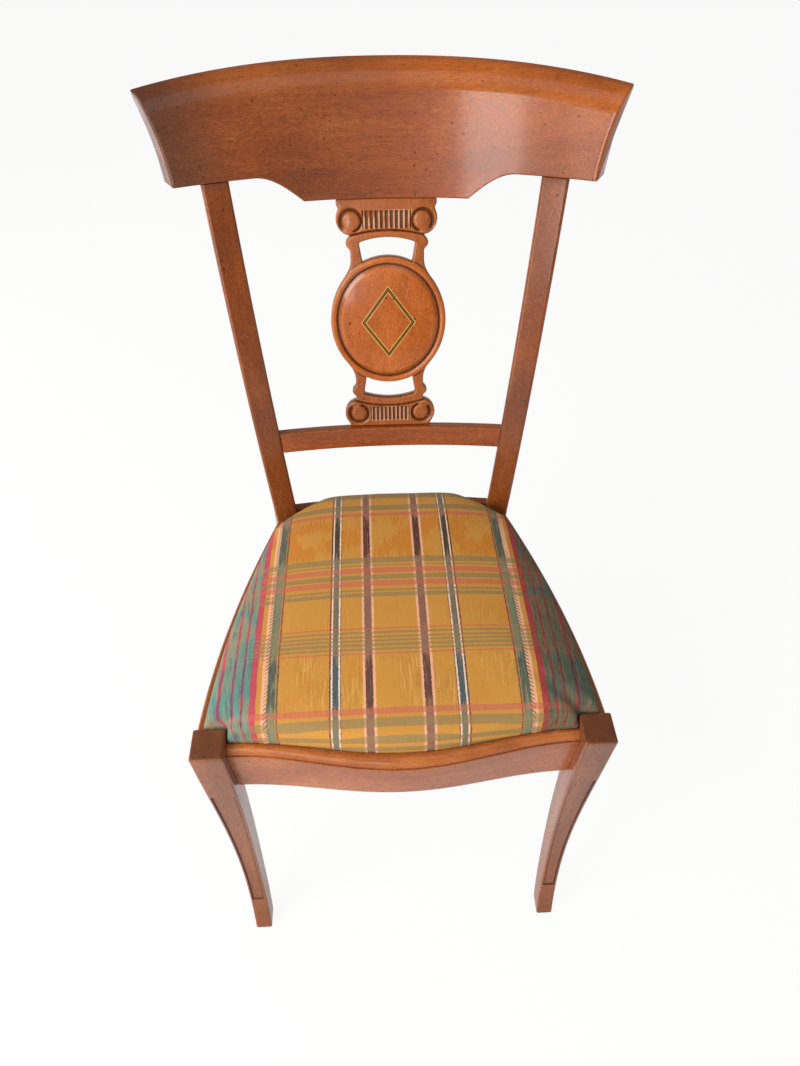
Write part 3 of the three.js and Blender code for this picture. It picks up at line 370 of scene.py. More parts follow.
def leg_face(z):
    """How far back the front lies: it sweeps forward by a power of the drop, and a little straight."""
    drop = leg_drop(z)
    return block_front - front_sweep * mix(drop**sweep_power_share, drop, sweep_straight_share)


def leg_outer(z):
    """How far from the middle the outer side lies: it is drawn in by a power of the drop."""
    return mix(block_width, foot_spread, leg_drop(z) ** leg_inset_power_share) / 2


def leg_width(z):
    """The leg narrows from the block to the foot, with an eased taper."""
    return mix(block_side, foot_width, ease(leg_drop(z) / leg_taper_share))


def leg_depth(z):
    """The leg thins evenly from the block to the foot."""
    return mix(block_side, foot_depth, leg_drop(z))


def rounded_end(radius, chords=5):
    """Steps over a rounded end: how far each ring is drawn in, and how far it lies from the end."""
    angle = np.linspace(0, math.pi / 2, chords + 1)
    return radius * (1 - np.sin(angle)), radius * (1 - np.cos(angle))


def front_leg(side):
    """A front leg's rings from the floor up: squares between its four curves, with a panel in front."""
    foot_inset, foot_rise = rounded_end(leg_round)
    panel_steps = np.array([-2, -0.5, 0, 0.5, 1, 2.5]) * panel_wall
    z = np.concatenate([
        np.linspace(leg_round, panel_foot, 8)[1:-1], panel_foot + panel_steps,
        np.linspace(panel_foot, panel_top, 46)[1:-1], panel_top - panel_steps[::-1],
        np.linspace(panel_top, sweep_top, 12)[1:], np.linspace(sweep_top, block_top - block_round, 4)[1:-1],
    ])
    top_inset, top_drop = rounded_end(block_round)
    z = np.concatenate([foot_rise, z, block_top - top_drop[::-1]])
    plain_rings = len(z) - len(foot_inset) - len(top_inset)
    inset = np.concatenate([foot_inset, np.zeros(plain_rings), top_inset[::-1]])
    outer = leg_outer(z) - inset
    inner = leg_outer(z) - leg_width(z) + inset
    face = leg_face(z) + inset
    back = leg_face(z) + leg_depth(z) - inset
    corners = np.stack([
        np.stack([outer, back], axis=-1), np.stack([inner, back], axis=-1),
        np.stack([inner, face], axis=-1), np.stack([outer, face], axis=-1),
    ], axis=1)
    outline, turn, corner = soften(corners, [leg_round] * 4)

    # The sunken panel lies between the last two corners, and its walls slope down over panel_wall.
    step = panel_bead + np.array([-0.4, 0, 1, 3]) * panel_wall
    across = np.concatenate([inner[:, None] + step, outer[:, None] - step[::-1]], axis=1)
    sunk = np.array([0, 0, 1, 1, 1, 1, 0, 0])
    open_height = ease((z - panel_foot) / panel_wall) * ease((panel_top - z) / panel_wall)
    relief = panel_depth * sunk * open_height[:, None]
    panel = np.stack([across, face[:, None] + relief], axis=-1)
    gap = np.argmax(corner == 3)
    outline = np.concatenate([outline[:, :gap], panel, outline[:, gap:]], axis=1)
    rows, columns = outline.shape[:2]
    # Pale rounded edges: wear and painted highlight. Painted shade lies on the sunken panel's walls and at
    # its ends, and the block's top is darker.
    worn = np.broadcast_to(np.concatenate([turn[:gap], np.zeros(len(sunk)), turn[gap:]]), (rows, columns))
    grime = np.zeros((rows, columns))
    walls = np.array([0, 0.9, 0.9, 0.1, 0.1, 0.9, 0.9, 0])
    wall_steps = np.stack([z - panel_foot, panel_top - z]) / panel_wall - 0.5
    near_ends = np.exp(-(wall_steps**2)).sum(axis=0)
    end_walls = np.minimum(near_ends, 1)[:, None] * sunk * 0.9
    grime[:, gap:gap + len(sunk)] = walls * open_height[:, None] + end_walls
    grime[-3:] = 0.5
    heights = np.broadcast_to(z[:, None], (rows, columns))
    rings = np.dstack([side * outline[..., 0], outline[..., 1], heights])
    return rings, worn * 0.5, np.clip(grime, 0, 1)


leg_wood = stained_wood(
    "leg_cherry", "z", (0.1, 0.03, 0.01), (0.22, 0.066, 0.022), (0.36, 0.125, 0.05), coat=0,
)
for side_name, side in sides.items():
    rings, worn, grime = front_leg(side)
    leg = skin(f"{side_name}_sabre_leg", rings, worn, grime)
    dress(leg, leg_wood, [f"{side_name}_front_leg"])


# Front rail
# A serpentine rail between the blocks. Its top edge is an ovolo over a small fillet, which stands up as a
# lip in front of the seat, and behind the lip is the shelf that the seat rests on.
rail_top = 0.44
rail_bottom = 0.36
shelf_drop = 0.014
front_rail_setback = 0.0125
front_bow = 0.0245
front_lip_width = 0.0115
front_lip_swell = 0.004
front_lip_rise = 0.0035
ovolo_height = 0.012
ovolo_fillet = 0.0018
front_rail_drop = 0.01
front_arch = 0.017
rail_edge_round = 0.0006
rail_lower_round = 0.0015
rail_hollow_round = 0.0003
joint_gap = 0.0002
shelf_top = rail_top - shelf_drop
block_inner = block_width / 2 - block_side


def front_wave(x):
    """One cosine wave: 1 in the middle of the rail and 0 at its ends."""
    return (1 + np.cos(math.pi * x / block_inner)) / 2


def front_rail_face(x):
    """How far back the rail's front lies: behind the blocks at its ends, and bowed out by the wave."""
    return block_front + front_rail_setback - front_bow * front_wave(x)


def front_lip_back(x):
    """How far back the lip's seat side lies: the lip is widest in the middle."""
    return front_rail_face(x) + front_lip_width + front_lip_swell * front_wave(x)


def outline_rows(*points):
    """Corners for soften: each is a pair whose numbers are single or change from row to row."""
    rows = max(np.size(number) for point in points for number in point)
    return np.stack([
        np.stack([np.broadcast_to(number, rows) for number in point], axis=-1) for point in points
    ], axis=1)


x = np.linspace(joint_gap - block_inner, block_inner - joint_gap, 81)
face, lip = front_rail_face(x), front_lip_back(x)
lip_top = rail_top + front_lip_rise
ledge = lip_top - ovolo_height
foot = rail_bottom - front_rail_drop + front_arch * front_wave(x)
back = block_front + block_side
corners = outline_rows(
    (back, foot), (face, foot), (face, ledge), (face + ovolo_fillet, ledge),
    (face + ovolo_fillet, lip_top), (lip, lip_top), (lip, shelf_top), (back, shelf_top),
)
run = lip - face - 2 * ovolo_fillet
radii = np.full((len(x), 8, 2), rail_edge_round)
radii[:, 1] = rail_lower_round
radii[:, 3] = rail_hollow_round
radii[:, 4, 0] = ovolo_height * 0.95
radii[:, 4, 1] = run
outline, turn, corner = soften(corners, radii, chords=8, shoulder=0.04)
rings = np.dstack([np.broadcast_to(x[:, None], outline.shape[:2]), outline[..., 0], outline[..., 1]])
# Pale edges at the lower front, the fillet, the ovolo and the lip: wear and painted highlight.
worn = turn * np.array([0, 0.4, 0.8, 0, 0.9, 0.8, 0, 0])[corner]
grime = turn * np.array([0, 0, 0, 1, 0, 0, 1, 0])[corner]
front_rail = skin("serpentine_front_rail", rings, worn, grime)
rail_wood = stained_wood(
    "front_rail_cherry", "x", (0.12, 0.03, 0.007), (0.28, 0.07, 0.014), (0.47, 0.15, 0.035),
    offset=(1.3, 0.4, 0.2), coat=0,
)
dress(front_rail, rail_wood, ["front_rail"])


# Rear posts
# Each is a stile and a rear leg in one piece. Above the seat it leans back 15 degrees and is turned to
# follow the hollow of the back, and below the seat it sweeps backwards to its foot.
seat_depth = 0.363  # fronts of the blocks to the fronts of the posts
post_spread = 0.3385  # over both posts at the seat
post_top_spread = 0.414
post_width = 0.0315
post_depth = 0.038
post_top_depth = 0.024
rear_foot_width = 0.026
rear_foot_depth = 0.028
rear_sweep = 0.064
rear_sweep_power_share = 2.6
lean_start = 0.42
lean_round = 0.03
post_round = 0.0035
post_flare_share = 0.24
crest_bottom = 0.872
joint_stain_reach = 0.012  # darker just under the crest rail
joint_stain_share = 0.5
low_stain_top = 0.74  # the stile is darker below this height, fully so a reach further down
low_stain_reach = 0.16
low_stain_share = 0.26
rake = math.radians(15)
post_turn = math.radians(14)


def back_rise(z):
    """0 at the seat rails and 1 at the crest rail."""
    return np.maximum(0, (z - rail_top) / (crest_bottom - rail_top))


def post_outer(z):
    """Half the spread over the posts: an even flare that is bowed out a little."""
    rise = back_rise(z)
    return mix(post_spread, post_top_spread, rise * (1 + post_flare_share * (1 - rise))) / 2


def post_inner(z):
    """The outer side less the post's width, which narrows to the foot."""
    return post_outer(z) - mix(post_width, rear_foot_width, leg_drop(z))


def post_middle(z):
    """Half way between the post's inner and outer sides."""
    return (post_inner(z) + post_outer(z)) / 2


def post_face(z):
    """How far back the post's front lies: upright, then softly bent into the rake, with the leg's sweep."""
    above = z - lean_start
    lean = math.tan(rake) * (above + np.hypot(above, lean_round)) / 2
    return block_front + seat_depth + lean + rear_sweep * leg_drop(z) ** rear_sweep_power_share


def post_back(z):
    """The front's place and the post's depth, which thins to the crest rail and to the foot."""
    return post_face(z) + mix(mix(post_depth, post_top_depth, back_rise(z)), rear_foot_depth, leg_drop(z))


def front_of_post(x, z):
    """How far back a post's turned front face lies at a distance from the chair's middle."""
    return post_face(z) - (x - post_middle(z)) * math.tan(post_turn)


def inside_of_post(y, z):
    """How far from the chair's middle a post's turned inner face lies at a depth."""
    half = (post_outer(z) - post_inner(z)) / 2
    behind = y - post_face(z) - half * math.sin(post_turn)
    return post_middle(z) - half * math.cos(post_turn) + behind * math.tan(post_turn)


foot_inset, foot_rise = rounded_end(leg_round)
z = np.concatenate([foot_rise, np.linspace(leg_round, crest_bottom - joint_gap, 91)[1:]])
inset = np.concatenate([foot_inset, np.zeros(len(z) - len(foot_inset))])
half = (post_outer(z) - post_inner(z)) / 2 - inset
deep = post_back(z) - post_face(z) - inset
outline, turn, corner = soften(
    outline_rows((half, deep), (-half, deep), (-half, inset), (half, inset)), [post_round] * 4, chords=6,
)
# Pale rounded edges: wear and painted highlight. The post is darker just under the crest rail and lower
# down.
post_worn = np.broadcast_to(turn * 0.35, outline.shape[:2])
near_crest = ease((z - crest_bottom + joint_stain_reach) / joint_stain_reach) * joint_stain_share
near_seat = ease((low_stain_top - z) / low_stain_reach) * low_stain_share
post_grime = np.broadcast_to(np.maximum(near_crest, near_seat)[:, None], outline.shape[:2])
across, behind = outline[..., 0], outline[..., 1]
post_wood = stained_wood(
    "post_cherry", "z", (0.09, 0.021, 0.004), (0.21, 0.048, 0.007), (0.36, 0.105, 0.02), (0.3, 2.1, 0.7),
)
for side_name, side in sides.items():
    x = post_middle(z)[:, None] + across * math.cos(post_turn) + behind * math.sin(post_turn)
    y = post_face(z)[:, None] - across * math.sin(post_turn) + behind * math.cos(post_turn)
    rings = np.dstack([side * x, y, np.broadcast_to(z[:, None], x.shape)])
    post = skin(f"{side_name}_raked_post", rings, post_worn, post_grime)
    dress(post, post_wood, [f"{side_name}_rear_post"])


# Side and rear rails
# The side rails bow outwards between the blocks and the posts, and the rear rail bows backwards between the
# posts. Each has a lip round the seat, rounded outside, and a shelf inside it.
side_rail_thickness = 0.024
side_lip_width = 0.009
side_bow = 0.013
side_round = 0.004
rear_rail_thickness = 0.026
rear_lip_width = 0.012
rear_rail_inset = 0.006
rear_rail_bow = 0.009
rear_round = 0.002
lip_inner_round = 0.001


def side_rail_face(y):
    """How far from the chair's middle a side rail's outer face lies at a depth: a line with a bow in it."""
    share = (y - block_front - block_side) / (seat_depth - block_side)
    return mix(block_width, post_spread, share) / 2 + side_bow * 4 * share * (1 - share)


def rear_rail_back(x):
    """How far back the rear rail's outer face lies: a parabola between the posts."""
    return post_back(rail_top) - rear_rail_inset + rear_rail_bow * (1 - (x / post_inner(rail_top)) ** 2)


def lipped_rail(face, lip_width, thickness, lip_round):
    """A rail's section from its outer face inwards: over the lip, down to the shelf and the underside."""
    corners = outline_rows(
        (face, rail_bottom), (face, rail_top), (face - lip_width, rail_top),
        (face - lip_width, shelf_top), (face - thickness, shelf_top), (face - thickness, rail_bottom),
    )
    lip_rounds = [rail_lower_round, lip_round, lip_inner_round, rail_hollow_round]
    return soften(corners, lip_rounds + [rail_edge_round] * 2)


side_wood = stained_wood(
    "side_rail_cherry", "y", (0.13, 0.036, 0.01), (0.29, 0.08, 0.02), (0.46, 0.16, 0.05), (0.9, 0.2, 1.7),
)
share = np.linspace(0, 1, 61)
rail_start, rail_end = block_front + block_side + joint_gap, block_front + seat_depth - joint_gap
y = mix(rail_start, rail_end, share)
outline, turn, corner = lipped_rail(side_rail_face(y), side_lip_width, side_rail_thickness, side_round)
rail_x, rail_z = outline[..., 0], outline[..., 1]
butted = share[:, None] * (front_of_post(rail_x, rail_z) - joint_gap - rail_end)
# Pale edges on the outer side and the lip: wear and painted highlight.
worn = turn * np.array([0.4, 0.5, 0.4, 0, 0, 0])[corner]
grime = turn * np.array([0, 0, 0, 1, 0, 0])[corner]
for side_name, side in sides.items():
    rings = np.dstack([side * rail_x, y[:, None] + butted, rail_z])
    rail = skin(f"{side_name}_bowed_rail", rings, worn, grime)
    dress(rail, side_wood, [f"{side_name}_side_rail"])

share = np.linspace(-1, 1, 61)
back = rear_rail_back(share * post_inner(rail_top))
outline, turn, corner = lipped_rail(back, rear_lip_width, rear_rail_thickness, rear_round)
rail_y, rail_z = outline[..., 0], outline[..., 1]
rail_x = share[:, None] * (inside_of_post(rail_y, rail_z) - joint_gap)
rear_rail = skin("bowed_rear_rail", np.dstack([rail_x, rail_y, rail_z]), worn, grime)
rear_wood = stained_wood(
    "rear_rail_cherry", "x", (0.12, 0.03, 0.008), (0.25, 0.065, 0.015), (0.4, 0.13, 0.04), (0.5, 0.8, 2.4),
)
dress(rear_rail, rear_wood, ["rear_rail"])


# Cross rail
# A slim raked rail that bows backwards between the posts and carries the foot of the splat.
cross_top = 0.57
cross_height = 0.028
cross_thickness = 0.017
cross_inset = 0.0045
cross_bow = 0.009
cross_round = 0.0018


def cross_face(x):
    """How far back the rail's upper front edge lies: a parabola between the posts."""
    return post_face(cross_top) + cross_inset + cross_bow * (1 - (x / post_inner(cross_top)) ** 2)


def cross_place(x, down, back):
    """Depth and height of a point of the cross rail: down along the rake, and back across it."""
    y = cross_face(x) - down * math.sin(rake) + back * math.cos(rake)
    return y, cross_top - down * math.cos(rake) - back * math.sin(rake)


share = np.linspace(-1, 1, 61)[:, None]
corners = outline_rows((cross_height, 0), (0, 0), (0, cross_thickness), (cross_height, cross_thickness))
outline, turn, corner = soften(corners, [cross_round] * 4)
rail_y, rail_z = cross_place(share * post_inner(cross_top), outline[0, :, 0], outline[0, :, 1])
rail_z = np.broadcast_to(rail_z, rail_y.shape)
rail_x = share * (inside_of_post(rail_y, rail_z) - joint_gap)
# Pale edges: wear and painted highlight.
cross_rail = skin("raked_cross_rail", np.dstack([rail_x, rail_y, rail_z]), turn * 0.5, 0)
cross_wood = stained_wood(
    "cross_rail_cherry", "x", (0.11, 0.025, 0.005), (0.27, 0.06, 0.008), (0.42, 0.125, 0.025),
    offset=(0.1, 1.5, 0.6),
)
dress(cross_rail, cross_wood, ["cross_rail"])


# Crest rail
# A wide board, hollow towards the sitter, with an arched top that rolls over to the front, ends that flare
# and are cut on a bevel, and a tab in the middle of its lower edge for the splat.
crest_half_width = 0.2355
crest_end_flare = 0.0175
crest_flare_height = 0.084
crest_flare_power_share = 1.6
crest_sag = 0.038
crest_thickness = 0.023
crest_middle_top = 0.974
crest_arch = 0.0145
crest_arch_power_share = 2.5
crest_tab_half = 0.096
crest_tab_drop = 0.027
crest_tab_step = 0.0008  # between the stations at the tab's corner
crest_scoop_end = 0.15
crest_roll_height = 0.026
crest_roll_depth = 0.018
crest_back_round = 0.006
crest_edge_round = 0.002
crest_end_round = 0.0025
crest_end_bevel = math.radians(29)
crest_face_points = 14  # rings of the section up the face, before the roll
crest_end_stain_share = 0.5  # painted shade: the left end is darker
crest_left_stain_share = 0.32  # and the left half a little, also painted shade
crest_left_stain_start = 0.05
crest_left_stain_reach = 0.1


def crest_face(x, z):
    """The raked front face, hollow in plan: a parabola that meets the posts' fronts."""
    hollow = crest_sag * (post_middle(crest_bottom) ** 2 - x**2) / crest_half_width**2
    return post_face(crest_bottom) + hollow + (z - crest_bottom) * math.tan(rake)


def crest_foot(x):
    """The lower edge: a tab in the middle, then a quarter wave up to the level ends."""
    share = np.clip((np.abs(x) - crest_tab_half) / (crest_scoop_end - crest_tab_half), 0, 1)
    return crest_bottom - crest_tab_drop * (1 - np.sin(share * math.pi / 2))


def crest_top(x):
    """The arched top, which falls by a power of the distance from the middle."""
    return crest_middle_top - crest_arch * np.abs(x / crest_half_width) ** crest_arch_power_share


def crest_section(x, inset):
    """Height and depth behind the face, ring by ring: up the face, over the roll and down the back."""
    foot, top = crest_foot(x) + inset, crest_top(x) - inset
    quarter = np.linspace(0, math.pi / 2, 9)
    small = np.linspace(0, math.pi / 2, 6)
    roll_height, roll_depth = crest_roll_height - inset, crest_roll_depth - inset
    face_z = mix(foot + crest_edge_round, top - roll_height, np.linspace(0, 1, crest_face_points))
    back_z = mix(top - crest_back_round, foot + crest_edge_round, np.linspace(0, 1, 12))
    depth = crest_thickness - inset
    edge_sine = crest_edge_round * (1 - np.sin(small))[None, :]
    edge_cosine = crest_edge_round * (1 - np.cos(small))[None, :]
    parts = [
        (face_z, inset + 0 * face_z),
        (top - roll_height * (1 - np.sin(quarter[1:])), inset + roll_depth * (1 - np.cos(quarter[1:]))),
        (top - crest_back_round * (1 - np.cos(small)), depth - crest_back_round * (1 - np.sin(small))),
        (back_z[:, 1:], depth + 0 * back_z[:, 1:]),
        (foot + edge_sine[:, 1:], depth - edge_cosine[:, 1:]),
        (foot + edge_cosine, inset + edge_sine),
    ]
    rows = len(x)
    heights = [np.broadcast_to(part[0], (rows, part[0].shape[1])) for part in parts]
    depths = [np.broadcast_to(part[1], (rows, part[1].shape[1])) for part in parts]
    return np.concatenate(heights, axis=1), np.concatenate(depths, axis=1)


end_inset, end_drop = rounded_end(crest_end_round)
half_stations = np.unique(np.concatenate([
    np.linspace(0, crest_tab_half, 16), crest_tab_half + np.array([-2, -1, 0, 1, 2]) * crest_tab_step,
    np.linspace(crest_tab_half, crest_scoop_end, 22), np.linspace(crest_scoop_end, crest_half_width, 20),
]))
plain = np.concatenate([-half_stations[:0:-1], half_stations])
stations = np.concatenate([
    np.full(len(end_inset), -crest_half_width), plain[1:-1], np.full(len(end_inset), crest_half_width),
])
inset = np.concatenate([end_inset, np.zeros(len(plain) - 2), end_inset[::-1]])[:, None]
pull = np.concatenate([end_drop, np.full(len(plain) - 2, crest_end_round), end_drop[::-1]])[:, None]
height, depth = crest_section(stations[:, None], inset)
lift = np.maximum(0, (height - crest_bottom) / crest_flare_height)
flare = crest_end_flare * lift**crest_flare_power_share
reach = crest_half_width + flare + depth * math.tan(crest_end_bevel)
x = stations[:, None] / crest_half_width * (reach - pull)
columns = height.shape[1]
edge = np.zeros(columns)
edge[crest_face_points:crest_face_points + 6] = 0.5  # painted highlight where the face turns into the roll
edge[-11:] = 0.4  # pale edges round both corners of the underside: wear and painted highlight
worn = np.maximum(edge, np.where(inset > 0, 0.4, 0) * np.ones(columns))
# Painted shade darkens the left end and, a little, the left half, and takes the pale edges off the left end.
left_end_stain = ease((-stations - crest_scoop_end) / (crest_half_width - crest_scoop_end))[:, None]
left_half_stain = ease((crest_left_stain_start - stations) / crest_left_stain_reach)[:, None]
stained = left_end_stain * crest_end_stain_share + left_half_stain * crest_left_stain_share
crest_points = np.dstack([x, crest_face(x, height) + depth, height])
crest_rail = skin("rolled_crest_rail", crest_points, worn * (1 - left_end_stain), stained)
crest_wood = stained_wood(
    "crest_cherry", "x", (0.11, 0.024, 0.004), (0.275, 0.058, 0.007), (0.44, 0.13, 0.02),
)
dress(crest_rail, crest_wood, ["crest_rail"])


# Splat
# One carved board: two small capitals with volutes and flutes, necks with a window and a nub on each side,
# and a round medallion with a moulded rim. Dark wax and painted shade darken the carving, the capitals
# carry more painted shade, and a painted highlight lies on the tops of the flutes.
splat_thickness = 0.014
splat_top_inset = 0.003
splat_foot_inset = 0.007
splat_round = 0.002
medallion_halves = (0.0735, 0.0795)
medallion_height = 0.143
medallion_margin = 0.0005  # stays round the medallion where the windows touch it
medallion_blend = 0.011  # a blend fills the corner where two outlines meet
groove_start = 0.0068  # in from the medallion's edge
groove_end = 0.0128
groove_depth = 0.0034
rim_swell = 0.0006
field_rise = 0.0008
field_ease = 0.002
field_dome = 0.001
neck_half_width = 0.0452
neck_round = 0.001
neck_sink = 0.0015
neck_ease = 0.0015
neck_blend = 0.002
nub_radius = 0.0062
nub_inset = 0.0012
nub_heights = (0.0505, 0.238)
nub_blend = 0.004
window_half_width = 0.0345
window_taper = 0.0035
window_taper_height = 0.02
window_arch = 0.006
window_tops = (0.0465, 0.2385)
window_blend = 0.003
capital_height = 0.036
lobe_places = ((0.0423, 0.019, 0.019), (0.0423, 0.2652, 0.0183))
band_half_widths = (0.053, 0.0595)
band_height = 0.009
band_round = 0.003
band_blend = 0.007
eye_places = ((0.042, 0.019), (0.0424, 0.263))
eye_radius = 0.0114
eye_rise = 0.0007
volute_width = 0.0021
volute_depth = 0.0038
volute_reach = 0.018
volute_opening = 1.25  # the groove is open towards the neck, this angle below the outward side
flute_spans = (0.0275, 0.0298)  # half of each row
flute_ranges = ((0.0085, 0.0285), (0.2545, 0.275))
flutes_in_a_row = 10
flute_depth = 0.0026
flute_ease = 0.0012
flute_start = 0.0018  # from the collar
collar_places = ((0.0295, 0.045, 1), (0.2525, 0.05, -1))
collar_bend = 0.007
collar_ease = 0.0014
collar_line_width = 0.0011
collar_line_depth = 0.0022
collar_line_start = 0.004  # outside the medallion
hollow_depth = 0.00025  # below its surroundings, where a hollow is darkest
sunk_margin = 0.0002  # below the neck, where the deep carving starts to darken
sunk_depth = 0.0009
sunk_edge = 0.0015  # from the outline
ridge_height = 0.0004
stain_share = 0.24  # darker off the medallion
stain_ease = 0.002
# Painted shade on both capitals, for the crest rail's shadow on the upper one.
capital_stain_share = 0.06
capital_stain_ease = 0.004
# The flute ridges are made palest: wear and painted highlight.
flute_rub_factor = 7
carving_cell = 0.00078
board_margin = 0.0045
carving_margin = 0.002

foot_y, foot_z = cross_place(0, 0, splat_foot_inset)
top_z = float(crest_foot(0))
top_y = float(crest_face(0, top_z)) + splat_top_inset
splat_height = math.hypot(top_y - foot_y, top_z - foot_z)
splat_slope = math.atan2(top_y - foot_y, top_z - foot_z)


def ellipse_gap(u, v, halves, centre):
    """Distance outside an ellipse, true near its edge: its value over its slope."""
    value = np.hypot(u / halves[0], (v - centre) / halves[1])
    slope = np.hypot(u / halves[0] ** 2, (v - centre) / halves[1] ** 2)
    return (value - 1) * value / np.maximum(slope, 1e-6)


def box_gap(u, v, centre, halves, radius):
    """Distance outside an upright rectangle with rounded corners."""
    across = np.abs(u - centre[0]) - halves[0] + radius
    along = np.abs(v - centre[1]) - halves[1] + radius
    outside = np.hypot(np.maximum(across, 0), np.maximum(along, 0))
    return outside + np.minimum(np.maximum(across, along), 0) - radius


def merge(first, second, blend):
    """The nearer of two distances, with the corner between them filled over the blend's width."""
    overlap = np.maximum(blend - np.abs(first - second), 0) / blend
    return np.minimum(first, second) - overlap**2 * blend / 4


def splat_gap(u, v):
    """Distance outside the splat's outline, below 0 inside it.

    The medallion is an ellipse. Each neck is a box with a nub, less its window, and each capital is two
    lobes and the bar between them, with a wider band at its end. Blends join them all.
    """
    u = np.abs(u)
    medallion = ellipse_gap(u, v, medallion_halves, medallion_height)
    gap = medallion
    for number, (away, end) in enumerate(((-1, 0), (1, splat_height))):
        lobe_x, lobe_y, lobe_radius = lobe_places[number]
        inner_end = medallion_height + away * medallion_halves[1] * 0.7
        neck_halves = (neck_half_width, abs(lobe_y - inner_end) / 2)
        neck = box_gap(u, v, (0, (lobe_y + inner_end) / 2), neck_halves, neck_round)
        nub = np.hypot(u - neck_half_width + nub_inset, v - nub_heights[number]) - nub_radius
        window_top = window_tops[number] + away * window_arch * (1 - (u / window_half_width) ** 2)
        taper = window_taper * np.clip(away * (window_tops[number] - v) / window_taper_height, 0, 1)
        window = -merge(-(u - window_half_width + taper), -(away * (v - window_top)), window_blend)
        window = -merge(-window, medallion, window_blend)
        window = np.maximum(window, away * (medallion_height - v))
        neck = np.maximum(merge(neck, nub, nub_blend), -window)
        lobe = np.hypot(u - lobe_x, v - lobe_y) - lobe_radius
        bar_halves = (lobe_x, abs(lobe_y - end) / 2 + lobe_radius * 0.4)
        bar = box_gap(u, v, (0, (lobe_y + end) / 2), bar_halves, neck_round)
        band_centre = (0, end - away * band_height / 2)
        band = box_gap(u, v, band_centre, (band_half_widths[number], band_height / 2), band_round)
        capital = merge(np.minimum(lobe, bar), band, band_blend)
        gap = merge(merge(neck, capital, neck_blend), gap, medallion_blend)
        gap = np.maximum(gap, -np.maximum(window, medallion_margin - medallion))
    return np.maximum(gap, np.maximum(joint_gap - v, v - splat_height + joint_gap))


def medallion_relief(inside):
    """The medallion by the distance inside its edge: a swelled rim, a hollow and a domed field.

    The rim is half a wave. The hollow is steep on its outer side and fades inwards, and the field is a
    parabola that stands up from the hollow's end.
    """
    rim = rim_swell * np.sin(np.clip(inside / groove_start, 0, 1) * math.pi)
    groove_share = np.clip((inside - groove_start) / (groove_end - groove_start), 0, 1)
    groove = groove_depth * ease(groove_share / 0.2) * (1 - groove_share) ** 0.85
    field_share = np.clip((inside - groove_end) / (medallion_halves[0] - groove_end), 0, 1)
    dome = field_dome * (1 - (1 - field_share) ** 2)
    field = field_rise * ease((inside - groove_end) / field_ease) + dome
    return np.where(inside > 0, rim - groove + np.where(inside > groove_end, field, 0), 0)


def flute_cut(u, v, number, past_collar):
    """Depth of a row of flutes: a wave whose ridges a power sharpens, faded out at the row's sides."""
    low, high = flute_ranges[number]
    span = flute_spans[number]
    edges = ease((span - np.abs(u)) / flute_ease) * ease((v - low) / flute_ease)
    edges = edges * ease((high - v) / flute_ease) * ease(past_collar / flute_start - 0.5)
    pitch = 2 * span / flutes_in_a_row
    ridge = (0.5 - 0.5 * np.cos(2 * math.pi * (u + span) / pitch)) ** 1.6
    return edges * flute_depth * (1 - 0.85 * ridge)


def volute_cut(eye_u, eye_v, eye_distance, away):
    """Depth of a volute's groove: a bell curve round a turn that closes in on the eye and narrows."""
    turned = np.mod(np.arctan2(away * eye_v, eye_u) + volute_opening, 2 * math.pi)
    turned_share = turned / (2 * math.pi)
    distance = (eye_distance - eye_radius * mix(1.13, 1, turned_share)) / mix(1.25, 0.6, turned_share)
    open_part = ease((turned - 0.25) / 0.6) * ease((2 * math.pi - 0.3 - turned) / 0.5)
    near = (np.abs(eye_v) < volute_reach) & (np.abs(eye_u) < volute_reach)
    return volute_depth * np.exp(-((distance / volute_width) ** 2)) * open_part * near


def splat_relief(u, v, gap):
    """Height of the carved front over its plain face: the sum of its parts, rounded at the outline."""
    outside = ellipse_gap(u, v, medallion_halves, medallion_height)
    relief = medallion_relief(-outside)
    relief = relief - neck_sink * ease(outside / neck_ease)
    for number, (height, reach, bend) in enumerate(collar_places):
        away = -bend
        collar = height + bend * collar_bend * (u / reach) ** 2
        past_collar = away * (v - collar)
        line = np.exp(-((past_collar / collar_line_width) ** 2)) * (outside > collar_line_start)
        relief = relief + ease(past_collar / collar_ease) * neck_sink - line * collar_line_depth
        relief = relief - flute_cut(u, v, number, past_collar)
        eye_u, eye_v = np.abs(u) - eye_places[number][0], v - eye_places[number][1]
        eye_distance = np.hypot(eye_u, eye_v)
        relief = relief - volute_cut(eye_u, eye_v, eye_distance, away)
        relief = relief + eye_rise * np.sqrt(np.clip(1 - eye_distance / eye_radius, 0, 1))
    return relief - edge_drop(gap)


def edge_drop(gap):
    """How far a quarter circle rounds the edge down, from the distance outside the outline."""
    depth = np.clip(-gap, 0, splat_round)
    return splat_round - np.sqrt(splat_round**2 - (splat_round - depth) ** 2)


def stand_up(u, v, rise):
    """From the splat's own plane into the chair. It leans back from its foot, and rise points forwards."""
    y = foot_y + v * math.sin(splat_slope) - rise * math.cos(splat_slope)
    z = foot_z + v * math.cos(splat_slope) + rise * math.sin(splat_slope)
    return np.stack([u, y, z], axis=-1)


